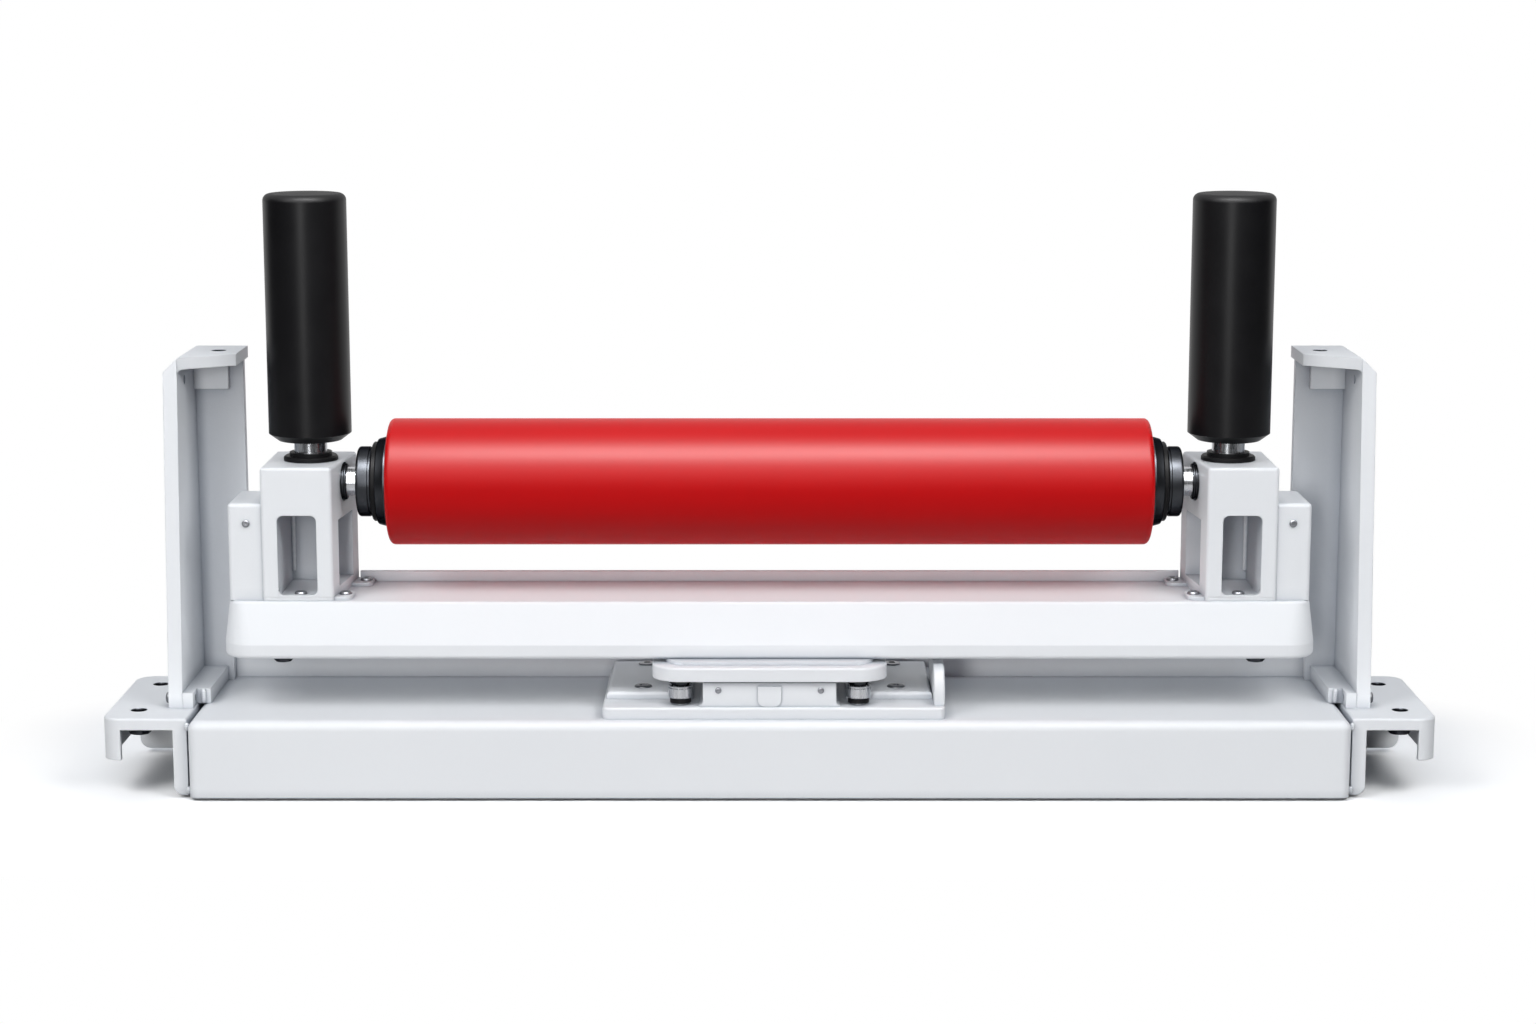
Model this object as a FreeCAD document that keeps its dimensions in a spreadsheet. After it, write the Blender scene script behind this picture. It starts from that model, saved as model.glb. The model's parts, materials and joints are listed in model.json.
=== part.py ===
import FreeCAD, Part
import math
import os
import re
import Sketcher

# Self-aligning return idler. X runs along the roller, Y across it, Z up.
# The origin is on the floor, under the pivot axis. Sizes are in millimetres.
SIZES = {
    # Return roller
    "roller_dia": 108,
    "roller_face": 647,
    "lagging_wall": 5,
    "lagging_edge": 4.5,
    "tube_wall": 5,
    "tube_inset": 2,
    # Roller shaft, bearings and seals
    "shaft_dia": 25,
    "shaft_end_gap": 3,
    "shaft_chamfer": 1,
    "bearing_dia": 62,
    "bearing_width": 17,
    "bearing_ring": 4.5,
    "bearing_inset": 12,
    "bearing_balls": 8,
    "ball_gap": 0.3,
    "housing_web": 8,
    "housing_shoulder": 7,
    "hub_ring_wall": 7,
    "hub_ring_proud": 10.5,
    "seal_step": 4,
    "seal_width": 4,
    "seal_bore_gap": 1.6,
    "hub_cap_step": 4,
    "hub_cap_width": 14,
    "hub_cap_chamfer": 2.5,
    "hub_cap_gap": 0.4,
    "hub_sleeve_wall": 1.2,
    "collar_gap": 8,
    "collar_dia": 31,
    "collar_width": 8,
    "collar_seat_gap": 1,
    "shaft_shoulder_dia": 32,
    # Guide rollers
    "guide_dia": 70,
    "guide_offset": 7,
    "guide_height": 209,
    "guide_gap": 17.5,
    "guide_edge": 6,
    "guide_dome": 1,
    "guide_chamfer": 8,
    "guide_chamfer_rise": 6,
    "guide_roof": 14,
    "guide_wall": 11.5,
    "guide_bearing_width": 14,
    "guide_bearing_ring": 4,
    "guide_bearing_inset": 9,
    "guide_shield": 1.5,
    "guide_seal": 5,
    "spindle_dia": 20,
    "spindle_neck": 28,
    "spindle_seat": 36,
    "spindle_nut": 8,
    "spindle_nut_dia": 30,
    "spindle_nut_gap": 6,
    "spindle_tip": 3,
    "guide_collar_dia": 46,
    "guide_collar": 4,
    "guide_collar_edge": 1.3,
    "guide_collar_step_dia": 36,
    "guide_collar_step": 3,
    # Roller blocks and end covers
    "block_width": 60,
    "block_depth": 92,
    "block_slant": 10,
    "block_height": 114,
    "block_edge": 3,
    "block_base": 3,
    "shaft_drop": 19,
    "window_width": 33,
    "window_roof": 9.5,
    "window_corner": 5,
    "window_back": 12,
    "window_bolt_front": 30,
    "side_window_width": 50,
    "side_window_low": 9,
    "side_window_drop": 7,
    "ear_length": 14.5,
    "ear_width": 26,
    "ear_bolt_in": 8,
    "ear_corner": 6,
    "cover_length": 28.6,
    "cover_drop": 31,
    "cover_front_inset": 3,
    "cover_back_inset": 21,
    "cover_wall": 4,
    "cover_edge": 3.5,
    "cover_boss_gap": 3,
    "cover_boss_size": 20,
    "cover_boss_depth": 12,
    "cover_screw_out": 13,
    "cover_screw_drop": 17,
    # Carrier beam
    "carrier_end_margin": 5,
    "carrier_flare": 14,
    "carrier_height": 47,
    "carrier_lip": 12,
    "carrier_wall": 5,
    "carrier_corner": 25,
    "carrier_margin": 2,
    "carrier_top_inset": 4,
    "carrier_top_corner": 14,
    "carrier_edge": 3,
    "carrier_lip_edge": 3.5,
    "upstand_gap": 2,
    "upstand_height": 9,
    "upstand_wall": 5,
    "upstand_edge": 1.2,
    # Swivel plate, stop posts and pivot
    "swing_angle": 5,
    "swivel_end": 24,
    "swivel_overhang": 4,
    "swivel_plate": 12,
    "swivel_corner": 25,
    "swivel_edge": 2,
    "spacer_inset": 11,
    "spacer_plate": 3,
    "spacer_corner": 20,
    "king_pin_dia": 40,
    "king_pin_head_dia": 68,
    "king_pin_head": 10,
    "king_pin_edge": 2.5,
    "king_pin_tip": 4,
    "king_nut_flats": 60,
    "king_nut": 14,
    "king_washer_dia": 72,
    "king_washer": 3,
    "bush_wall": 5,
    "thrust_dia": 88,
    "thrust_washer": 3,
    "thrust_recess": 1.5,
    "stop_post_gap": 15.5,
    "stop_post_inset": 16,
    "stop_stud_dia": 10,
    "stop_head_dia": 14,
    "stop_head": 0.8,
    "stop_head_gap": 0.5,
    "stop_roller_dia": 18,
    "stop_roller": 4,
    "stop_sleeve_dia": 21,
    "stop_gap": 0.3,
    "stop_nut_flats": 16,
    "stop_nut": 4,
    # Pivot base
    "pivot_plate_length": 288,
    "pivot_plate_offset": 3.5,
    "pivot_plate_margin": 9,
    "pivot_plate_gap": 5,
    "pivot_plate": 10,
    "pivot_plate_corner": 5,
    "pivot_plate_edge": 2,
    "housing_width": 112,
    "housing_flare": 3.5,
    "housing_margin": 4,
    "housing_back": 50,
    "housing_height": 20.5,
    "housing_foot": 1,
    "housing_pad_drop": 3,
    "housing_pad_width": 20,
    "housing_pad_proud": 1,
    "housing_pad_corner": 6,
    "housing_screw_inset": 13,
    "housing_screw_rise": 14,
    "stop_plate_clear": 5.5,
    "stop_plate_gap": 0.5,
    "stop_plate_margin": 2,
    "stop_plate": 6,
    "stop_plate_edge": 3,
    "stop_bolt_inset": 30,
    "stop_bolt_front": 21,
    "stop_bolt_back": 12,
    "lug_thick": 9,
    "lug_margin": 8,
    "lug_back": 14,
    "lug_gap": 5,
    "lug_corner": 22,
    "lug_edge": 1.8,
    # Base deck
    "deck_overhang": 26,
    "deck_depth": 182,
    "deck_height": 66,
    "deck_wall": 6,
    "deck_edge": 8,
    "deck_hollow_corner": 4,
    "rail_inset": 14,
    "rail_height": 14,
    "rail_wall": 6,
    "rail_edge": 2,
    # Feet, end posts and tie bars
    "foot_gap": 2,
    "foot_length": 72,
    "foot_inset": 11,
    "foot_plate": 10,
    "foot_leg": 12,
    "foot_leg_edge": 8,
    "foot_lip": 36,
    "foot_lip_wall": 6,
    "foot_lip_return": 16,
    "foot_corner": 16,
    "foot_edge": 2,
    "foot_hole_dia": 14,
    "foot_hole_margin": 26,
    "foot_hole_inset": 32,
    "foot_boss_flats": 22,
    "foot_boss": 8,
    "foot_pad_dia": 20,
    "foot_bolt_inset": 30,
    "foot_bolt_drop": 32,
    "post_setback": 10,
    "post_wall": 12,
    "post_front": 42,
    "post_top_front": 18,
    "post_back_margin": 8,
    "post_height": 297,
    "post_bend": 12,
    "post_bend_edge": 3,
    "post_inner_bend": 4,
    "post_back_wall": 8,
    "flange_length": 57,
    "flange_front": 12,
    "flange_wall": 10,
    "flange_hole_dia": 13,
    "flange_hole_in": 38,
    "flange_hole_back": 34,
    "back_wall_reach": 54,
    "back_wall_low_reach": 38,
    "back_wall_step": 134,
    "back_wall_corner": 6,
    "side_hole_dia": 8,
    "side_hole_drop": 22,
    "side_hole_back": 58,
    "gusset_length": 30,
    "gusset_depth": 8,
    "gusset_height": 26,
    "tie_width": 21,
    "tie_height": 13,
    "tie_front_width": 9,
    "tie_front_length": 18,
    "tie_bolt_front": 12,
    "tie_bolt_back": 30,
    # Fasteners and fits
    "block_bolt_dia": 6,
    "block_bolt_flats": 10,
    "block_bolt_head": 4,
    "block_bolt_nut": 5,
    "block_bolt_tip": 2,
    "bolt_dia": 8,
    "bolt_flats": 13,
    "bolt_head": 5,
    "bolt_nut": 6.5,
    "bolt_tip": 3,
    "button_dia": 14,
    "button_head": 4.4,
    "small_screw_dia": 4,
    "small_screw_head_dia": 6.5,
    "small_screw_head": 1.6,
    "small_screw_length": 13,
    "tie_screw_dia": 6,
    "tie_screw_head_dia": 10,
    "tie_screw_head": 4,
    "tie_screw_length": 26,
    "seat_fit": 0.05,
    "run_fit": 0.08,
    "pin_clear": 0.5,
}

SIDES = (("left", -1), ("right", 1))
NEAR = 1e-4

doc = FreeCAD.newDocument("ReturnIdler")
sheet = doc.addObject("Spreadsheet::Sheet", "Sizes")
for row, (alias, size) in enumerate(SIZES.items(), start=1):
    sheet.set(f"A{row}", alias)
    sheet.set(f"B{row}", str(size))
    sheet.setAlias(f"B{row}", alias)
doc.recompute()

# Levels and stations worked out from the driving dimensions, as expressions
shaft_r = "(shaft_dia / 2)"
shaft_fit_r = "(shaft_dia / 2 + seat_fit)"
tube_r = "(roller_dia / 2 - lagging_wall)"
hub_ring_r = "(bearing_dia / 2 + hub_ring_wall)"
seal_r = f"({hub_ring_r} - seal_step)"
hub_cap_r = f"({seal_r} - hub_cap_step)"
sleeve_r = f"({shaft_fit_r} + hub_sleeve_wall)"
guide_seat_r = "(guide_dia / 2 - guide_wall)"
pin_r = "(king_pin_dia / 2)"
pin_fit_r = "(king_pin_dia / 2 + seat_fit)"
block_hole_r = "(block_bolt_dia / 2 + seat_fit)"
bolt_hole_r = "(bolt_dia / 2 + seat_fit)"
small_hole_r = "(small_screw_dia / 2 + seat_fit)"
tie_hole_r = "(tie_screw_dia / 2 + seat_fit)"
# Outwards along X, from the roller's face to the feet
face_end = "(roller_face / 2)"
bearing_x0 = f"({face_end} - bearing_inset)"
bearing_x1 = f"({bearing_x0} + bearing_width)"
ring_x = f"({face_end} + hub_ring_proud)"
seal_x = f"({ring_x} + seal_width)"
cap_x0 = f"({seal_x} + hub_cap_gap)"
cap_x1 = f"({cap_x0} + hub_cap_width)"
block_in = f"({cap_x1} + collar_gap + collar_width)"
block_back_in = f"({block_in} - block_slant)"
block_mid = f"({block_in} + block_width / 2)"
block_out = f"({block_in} + block_width)"
guide_x = f"({block_mid} - guide_offset)"
shaft_end = f"({guide_x} - spindle_dia / 2 - shaft_end_gap)"
cover_out = f"({block_out} + cover_length)"
cover_screw_x = f"({block_out} + cover_screw_out)"
carrier_end = f"({cover_out} + carrier_end_margin)"
deck_end = f"({carrier_end} + deck_overhang)"
foot_in = f"({deck_end} + foot_gap)"
foot_out = f"({foot_in} + foot_length)"
foot_hole_x = f"({foot_out} - foot_hole_margin)"
post_in = f"({foot_in} + post_setback)"
post_out = f"({post_in} + post_wall)"
# Outwards along X on the pivot base
housing_half = "(housing_width / 2)"
housing_foot_x = f"({housing_half} + housing_flare)"
housing_screw_x = f"({housing_half} - housing_screw_inset)"
plate_left = "(pivot_plate_length / 2 - pivot_plate_offset)"
plate_right = "(pivot_plate_length / 2 + pivot_plate_offset)"
stop_plate_in = f"({housing_foot_x} + stop_plate_clear)"
stop_plate_out = f"({plate_right} - lug_thick - stop_plate_gap)"
stop_bolt_x = f"({stop_plate_out} - stop_bolt_inset)"
stop_post_x = f"({housing_foot_x} + stop_post_gap)"
swivel_x = f"({stop_post_x} + swivel_end)"
# Across, along Y
rail_back = "(deck_depth / 2 - deck_edge)"
rail_face = f"({rail_back} - rail_wall)"
plate_front = "(deck_depth / 2 - pivot_plate_margin)"
plate_back = f"({rail_face} - pivot_plate_gap)"
housing_front = f"({plate_front} - housing_margin)"
stop_post_y = f"({plate_front} - stop_post_inset)"
swivel_y = f"({housing_front} + swivel_overhang)"
foot_half = "(deck_depth / 2 - foot_inset)"
foot_hole_y = f"({foot_half} - foot_hole_inset)"
foot_bolt_y = f"({foot_half} - foot_bolt_inset)"
post_back = f"({foot_half} - post_back_margin)"
back_face = f"({post_back} - post_back_wall)"
block_half = "(block_depth / 2)"
cover_front = f"({block_half} - cover_front_inset)"
cover_back = f"({block_half} - cover_back_inset)"
carrier_top_y = f"({block_half} + carrier_margin)"
carrier_y = f"({carrier_top_y} + carrier_flare)"
# Upwards, along Z
deck_under = "(deck_height - deck_wall)"
foot_low = "(deck_height - foot_lip)"
foot_bolt_z = "(deck_height - foot_bolt_drop)"
post_top = "(deck_height + post_height)"
flange_low = f"({post_top} - flange_wall)"
plate_top = "(deck_height + pivot_plate)"
housing_top = f"({plate_top} + housing_height)"
swivel_low = f"({housing_top} - thrust_recess + thrust_washer)"
swivel_top = f"({swivel_low} + swivel_plate)"
lip_low = f"({swivel_top} + spacer_plate)"
lip_top = f"({lip_low} + carrier_lip)"
lug_top = f"({lip_low} - lug_gap)"
carrier_top = f"({lip_low} + carrier_height)"
web_low = f"({carrier_top} - carrier_wall)"
shaft_rise = "(block_height - shaft_drop)"
window_top = f"({shaft_rise} - {shaft_r} - window_roof)"
cover_rise = "(block_height - cover_drop)"
cover_screw_rise = f"({cover_rise} - cover_screw_drop)"
roller_axis = f"({carrier_top} + {shaft_rise})"
block_top = f"({carrier_top} + block_height)"
guide_low = f"({block_top} + guide_gap)"
guide_top = f"({guide_low} + guide_height)"
stop_head_z = f"({plate_top} + stop_head_gap)"
stop_roller_z = f"({stop_head_z} + stop_head + stop_gap)"
stop_sleeve_z = f"({stop_roller_z} + stop_roller + stop_gap)"
stop_nut_z = f"({swivel_low} - stop_nut)"
# The stop roller reaches the stop plate just past the end of the swing
stop_face = (
    f"(-{stop_post_y} * cos(swing_angle * 1 deg) + {stop_post_x} * sin(swing_angle * 1 deg)"
    " + stop_roller_dia / 2 + stop_gap)"
)
stop_bolt_ys = (f"({stop_face} + stop_bolt_front)", f"({plate_back} - stop_plate_margin - stop_bolt_back)")
tie_bolt_spots = [(y, "(deck_height + tie_height / 2)")
                  for y in ("(-post_front + tie_bolt_front)", f"({post_back} - tie_bolt_back)")]
window_bolt = (block_mid, "-window_bolt_front")
ear_bolt_y = f"({block_half} - ear_width / 2 - carrier_edge)"
ear_bolts = [(f"({block_in} - ear_bolt_in)", f"-{ear_bolt_y}"),
             (f"({block_back_in} - ear_bolt_in)", ear_bolt_y)]
block_bolts = [window_bolt] + ear_bolts


def bound(text):
    """Turn size names into references to their spreadsheet cells."""
    return re.sub(r"[a-z]\w*", lambda word: f"Sizes.{word[0]}" if word[0] in SIZES else word[0], text)


def value(text):
    return float(sheet.evalExpression(bound(text)))


def new_body(label):
    body = doc.addObject("PartDesign::Body", label)
    body.Label = label
    return body


def place(item, x="0", y="0", z="0", turn=None):
    if turn:
        item.Placement = FreeCAD.Placement(FreeCAD.Vector(), FreeCAD.Rotation(*turn))
    for axis, text in zip("xyz", (x, y, z)):
        item.setExpression(f"Placement.Base.{axis}", bound(text))
    return item


def sketch_on(body, role, offset="0"):
    plane = next(feature for feature in body.Origin.OriginFeatures if feature.Role == role)
    sketch = body.newObject("Sketcher::SketchObject", "Sketch")
    sketch.AttachmentSupport = [(plane, "")]
    sketch.MapMode = "FlatFace"
    sketch.setExpression("AttachmentOffset.Base.z", bound(offset))
    return sketch


def pin_point(sketch, curve, end, x, y):
    """Hold one point of a curve at two expressions measured from the sketch's origin."""
    for kind, text in (("DistanceX", x), ("DistanceY", y)):
        index = sketch.addConstraint(Sketcher.Constraint(kind, -1, 1, curve, end, value(text)))
        sketch.setExpression(f"Constraints[{index}]", bound(text))


def hold_radius(sketch, curve, radius):
    index = sketch.addConstraint(Sketcher.Constraint("Radius", curve, value(radius)))
    sketch.setExpression(f"Constraints[{index}]", bound(radius))


def arc_between(start, end, centre):
    """The shorter arc about a centre, and its end numbers in the order of travel."""
    angles = [math.atan2(point.y - centre.y, point.x - centre.x) for point in (start, end)]
    full = 2 * math.pi
    forward = (angles[1] - angles[0]) % full < math.pi
    first, last = angles if forward else reversed(angles)
    whole = Part.Circle(centre, FreeCAD.Vector(0, 0, 1), start.distanceToPoint(centre))
    arc = Part.ArcOfCircle(whole, first, first + (last - first) % full)
    return arc, (1, 2) if forward else (2, 1)


def polygon(sketch, points, arcs=None):
    """Closed outline through the points. arcs gives centre and radius of a stretch by its first point."""
    arcs = arcs or {}
    spots = [FreeCAD.Vector(value(x), value(y), 0) for x, y in points]
    count = len(points)
    first = sketch.GeometryCount
    ends = []
    for index in range(count):
        start, end = spots[index], spots[(index + 1) % count]
        curve, order = Part.LineSegment(start, end), (1, 2)
        if index in arcs:
            x, y, radius = arcs[index]
            curve, order = arc_between(start, end, FreeCAD.Vector(value(x), value(y), 0))
        sketch.addGeometry(curve, False)
        ends.append(order)
    for index in range(count):
        after = (index + 1) % count
        sketch.addConstraint(Sketcher.Constraint("Coincident", first + index, ends[index][1],
                                                 first + after, ends[after][0]))
    for index, (x, y) in enumerate(points):
        pin_point(sketch, first + index, ends[index][0], x, y)
        if index in arcs:
            hold_radius(sketch, first + index, arcs[index][2])


def rectangle(sketch, x, y):
    polygon(sketch, [(x[0], y[0]), (x[1], y[0]), (x[1], y[1]), (x[0], y[1])])


def rounded_rectangle(sketch, half_x, half_y, radius):
    """Rectangle about the sketch's origin, with round corners."""
    dx, dy, r = value(half_x), value(half_y), value(radius)
    right_angle = math.pi / 2
    signs = ((1, 1), (-1, 1), (-1, -1), (1, -1))
    for quarter, (sx, sy) in enumerate(signs):
        centre = FreeCAD.Vector(sx * (dx - r), sy * (dy - r), 0)
        circle = Part.Circle(centre, FreeCAD.Vector(0, 0, 1), r)
        arc = Part.ArcOfCircle(circle, quarter * right_angle, (quarter + 1) * right_angle)
        sketch.addGeometry(arc, False)
    for quarter in range(4):
        start = sketch.Geometry[quarter].EndPoint
        end = sketch.Geometry[(quarter + 1) % 4].StartPoint
        sketch.addGeometry(Part.LineSegment(start, end), False)
    for quarter, (sx, sy) in enumerate(signs):
        sketch.addConstraint(Sketcher.Constraint("Tangent", quarter, 2, 4 + quarter, 1))
        sketch.addConstraint(Sketcher.Constraint("Tangent", 4 + quarter, 2, (quarter + 1) % 4, 1))
        pin_point(sketch, quarter, 3, f"{sx} * ({half_x} - ({radius}))", f"{sy} * ({half_y} - ({radius}))")
        hold_radius(sketch, quarter, radius)


def circle(sketch, x, y, radius):
    centre = FreeCAD.Vector(value(x), value(y), 0)
    curve = sketch.addGeometry(Part.Circle(centre, FreeCAD.Vector(0, 0, 1), value(radius)), False)
    pin_point(sketch, curve, 3, x, y)
    hold_radius(sketch, curve, radius)


def pad(body, sketch, length, reverse=False):
    feature = body.newObject("PartDesign::Pad", "Pad")
    feature.Profile = sketch
    feature.Reversed = reverse
    feature.setExpression("Length", bound(length))
    return feature


def pocket(body, sketch, depth, along_normal=True):
    feature = body.newObject("PartDesign::Pocket", "Pocket")
    feature.Profile = sketch
    feature.Reversed = along_normal
    feature.setExpression("Length", bound(depth))
    return feature


def bore(body, role, offset, spots, radius, depth, along_normal=True):
    """Round holes in a body, cut from a plane to a depth."""
    sketch = sketch_on(body, role, offset)
    for x, y in spots:
        circle(sketch, x, y, radius)
    return pocket(body, sketch, depth, along_normal)


def round_edges(body, radius, chosen):
    """Fillet the edges of the body that a test picks."""
    doc.recompute()
    base = body.Tip
    names = [f"Edge{number}" for number, edge in enumerate(base.Shape.Edges, start=1)
             if not edge.Degenerated and chosen(edge)]
    if not names:
        raise RuntimeError(f"{body.Label}: no edge to round")
    feature = body.newObject("PartDesign::Fillet", "Fillet")
    feature.Base = (base, names)
    feature.setExpression("Radius", bound(radius))
    return feature


def chamfer_edges(body, size, chosen):
    """Bevel the edges of the body that a test picks."""
    doc.recompute()
    base = body.Tip
    names = [f"Edge{number}" for number, edge in enumerate(base.Shape.Edges, start=1)
             if not edge.Degenerated and chosen(edge)]
    if not names:
        raise RuntimeError(f"{body.Label}: no edge to bevel")
    feature = body.newObject("PartDesign::Chamfer", "Chamfer")
    feature.Base = (base, names)
    feature.setExpression("Size", bound(size))
    return feature


def spread(edge, axis):
    box = edge.BoundBox
    return {"x": box.XLength, "y": box.YLength, "z": box.ZLength}[axis]


def level(edge, axis):
    box = edge.BoundBox
    return {"x": box.Center.x, "y": box.Center.y, "z": box.Center.z}[axis]


def straight(axis, **places):
    """Test for straight edges along an axis, at given places on the other axes."""

    def test(edge):
        if edge.Curve.TypeId != "Part::GeomLine":
            return False
        if any(spread(edge, other) > NEAR for other in "xyz" if other != axis):
            return False
        return all(any(abs(level(edge, name) - spot) < NEAR for spot in spots)
                   for name, spots in places.items())

    return test


def flat_at(axis, text):
    """Test for edges that lie in a plane across an axis."""
    spot = value(text)
    return lambda edge: spread(edge, axis) < NEAR and abs(level(edge, axis) - spot) < NEAR


def circle_of(text):
    """Test for round edges of a radius."""
    radius = value(text)
    return lambda edge: edge.Curve.TypeId == "Part::GeomCircle" and abs(edge.Curve.Radius - radius) < NEAR


def slab(label, x, y, thick, base, corner=None, edge=None):
    """Flat plate with round corners and a softened top edge."""
    body = place(new_body(label), z=base)
    sketch = sketch_on(body, "XY_Plane")
    rectangle(sketch, x, y)
    pad(body, sketch, thick)
    if corner:
        round_edges(body, corner, straight("z"))
    if edge:
        round_edges(body, edge, flat_at("z", thick))
    return body


def turned(label, profile, axis="V_Axis", **spot):
    """Solid of revolution: profile points are (radius, height), or (station, radius) about H_Axis."""
    body = place(new_body(label), **spot)
    sketch = sketch_on(body, "XZ_Plane")
    polygon(sketch, profile)
    feature = body.newObject("PartDesign::Revolution", "Revolution")
    feature.Profile = sketch
    feature.ReferenceAxis = (sketch, [axis])
    feature.Angle = 360
    return body


def ring(label, inner, outer, low, high, **spot):
    return turned(label, [(inner, low), (outer, low), (outer, high), (inner, high)], **spot)


def shaft_ring(label, side, start, end, inner, outer, **spot):
    points = [(start, inner), (end, inner), (end, outer), (start, outer)]
    return turned(label, [(f"{side} * {x}", r) for x, r in points], "H_Axis", **spot)


def hex_prism(label, flats, thick, **spot):
    prism = doc.addObject("Part::Prism", label)
    prism.Polygon = 6
    prism.setExpression("Circumradius", bound(f"{flats} / sqrt(3)"))
    prism.setExpression("Height", bound(thick))
    return place(prism, **spot)


def cylinder(label, radius, length, **spot):
    rod = doc.addObject("Part::Cylinder", label)
    rod.setExpression("Radius", bound(radius))
    rod.setExpression("Height", bound(length))
    return place(rod, **spot)


def joined(kind, label, base, tool):
    result = doc.addObject(kind, label)
    result.Base = base
    result.Tool = tool
    return result


def hex_bolt(label, x, y, seat, grip):
    """Bolt whose head sits on the seat and whose shank goes down through the grip, nut and tip."""
    shank = f"({grip} + block_bolt_nut + block_bolt_tip)"
    head = hex_prism(label + "_head", "block_bolt_flats", "block_bolt_head", x=x, y=y, z=seat)
    rod = cylinder(label + "_shank", "block_bolt_dia / 2", shank, x=x, y=y, z=f"{seat} - {shank}")
    return joined("Part::Fuse", label, head, rod)


def hex_nut(label, flats, thick, bore_radius, **spot):
    body = hex_prism(label + "_hex", flats, thick, **spot)
    hole = cylinder(label + "_bore", bore_radius, thick, **spot)
    return joined("Part::Cut", label, body, hole)


def screw(label, dia, head_dia, head, length, **spot):
    """Round-headed screw with its head's underside at z = 0 and its shank below."""
    profile = [("0", f"-{length}"), (f"{dia} / 2", f"-{length}"), (f"{dia} / 2", "0"),
               (f"{head_dia} / 2", "0"), (f"{head_dia} / 2", f"{head} / 2"),
               (f"{head_dia} / 2 - {head} / 2", head), ("0", head)]
    return turned(label, profile, **spot)


def group(label, members):
    """Node made of separate solids."""
    node = doc.addObject("Part::Compound", label)
    node.Label = label
    node.Links = members
    return node


def across(text):
    return (f"-({text})", text)


def side_span(side, near, far):
    return (f"{side} * {near}", f"{side} * {far}")


def make_deck():
    deck = slab("base_deck", across(deck_end), across("deck_depth / 2"), "deck_height", "0",
                "deck_edge", "deck_edge")
    hollow = sketch_on(deck, "XY_Plane")
    rounded_rectangle(hollow, f"({deck_end} - deck_wall)", "(deck_depth / 2 - deck_wall)",
                      "deck_hollow_corner")
    pocket(deck, hollow, deck_under)
    bore(deck, "XY_Plane", deck_under, [("0", "0")], f"{pin_r} + pin_clear", "deck_wall")
    bolts = [(x, y) for x in across(stop_bolt_x) for y in stop_bolt_ys]
    bore(deck, "XY_Plane", deck_under, bolts, bolt_hole_r, "deck_wall")
    walls = [(y, foot_bolt_z) for y in across(foot_bolt_y)]
    bore(deck, "YZ_Plane", f"-{deck_end}", walls, bolt_hole_r, f"2 * {deck_end}")
    rail = slab("rear_rail", across(f"({deck_end} - rail_inset)"),
                (rail_face, rail_back), "rail_height", "deck_height",
                edge="rail_edge")
    return [deck, rail]


def make_foot(name, side):
    """Bolt-down plate with a leg beside the deck, and a skirt at the outer end and the back."""
    foot = new_body(f"{name}_foot")
    leg_out = f"({foot_in} + foot_leg)"
    outline = sketch_on(foot, "XY_Plane", foot_low)
    rectangle(outline, side_span(side, foot_in, foot_out), across(foot_half))
    pad(foot, outline, "foot_lip")
    round_edges(foot, "foot_corner", straight("z", x=[side * value(foot_out)]))
    under = sketch_on(foot, "XY_Plane", foot_low)
    rectangle(under, side_span(side, leg_out, f"({foot_out} - foot_lip_wall)"),
              across(f"({foot_half} - foot_lip_wall)"))
    pocket(foot, under, "foot_lip - foot_plate")
    round_edges(foot, "(foot_corner - foot_lip_wall)",
                straight("z", x=[side * value(f"{foot_out} - foot_lip_wall")]))
    mouth = sketch_on(foot, "XY_Plane", foot_low)
    rectangle(mouth, side_span(side, leg_out, f"({foot_out} - foot_lip_return)"), (f"-{foot_half}", "0"))
    pocket(foot, mouth, "foot_lip - foot_plate")
    leg = sketch_on(foot, "XY_Plane")
    rectangle(leg, side_span(side, foot_in, leg_out), across(foot_half))
    pad(foot, leg, foot_low)
    round_edges(foot, "foot_leg_edge", straight("y", x=[side * value(leg_out)], z=[0]))
    round_edges(foot, "foot_edge", flat_at("z", "deck_height"))
    holes = [(f"{side} * {foot_hole_x}", y) for y in across(foot_hole_y)]
    bore(foot, "XY_Plane", "deck_height", holes, "foot_hole_dia / 2", "foot_plate", along_normal=False)
    bolts = [(y, foot_bolt_z) for y in across(foot_bolt_y)]
    pads = sketch_on(foot, "YZ_Plane", f"{side} * {foot_in}")
    for y, z in bolts:
        circle(pads, y, z, "foot_pad_dia / 2")
    pad(foot, pads, "foot_gap", reverse=side > 0)
    bore(foot, "YZ_Plane", f"{side} * {deck_end}", bolts, bolt_hole_r, "foot_gap + foot_leg", side > 0)
    return foot


def make_foot_bosses():
    bosses = []
    for name, side in SIDES:
        for end, sign in (("front", -1), ("back", 1)):
            spot = {"x": f"{side} * {foot_hole_x}", "y": f"{sign} * {foot_hole_y}"}
            bosses.append(hex_nut(f"{name}_{end}_boss", "foot_boss_flats", "foot_boss", "foot_hole_dia / 2",
                                  z="deck_height - foot_plate - foot_boss", **spot))
    return group("foot_bosses", bosses)


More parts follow.
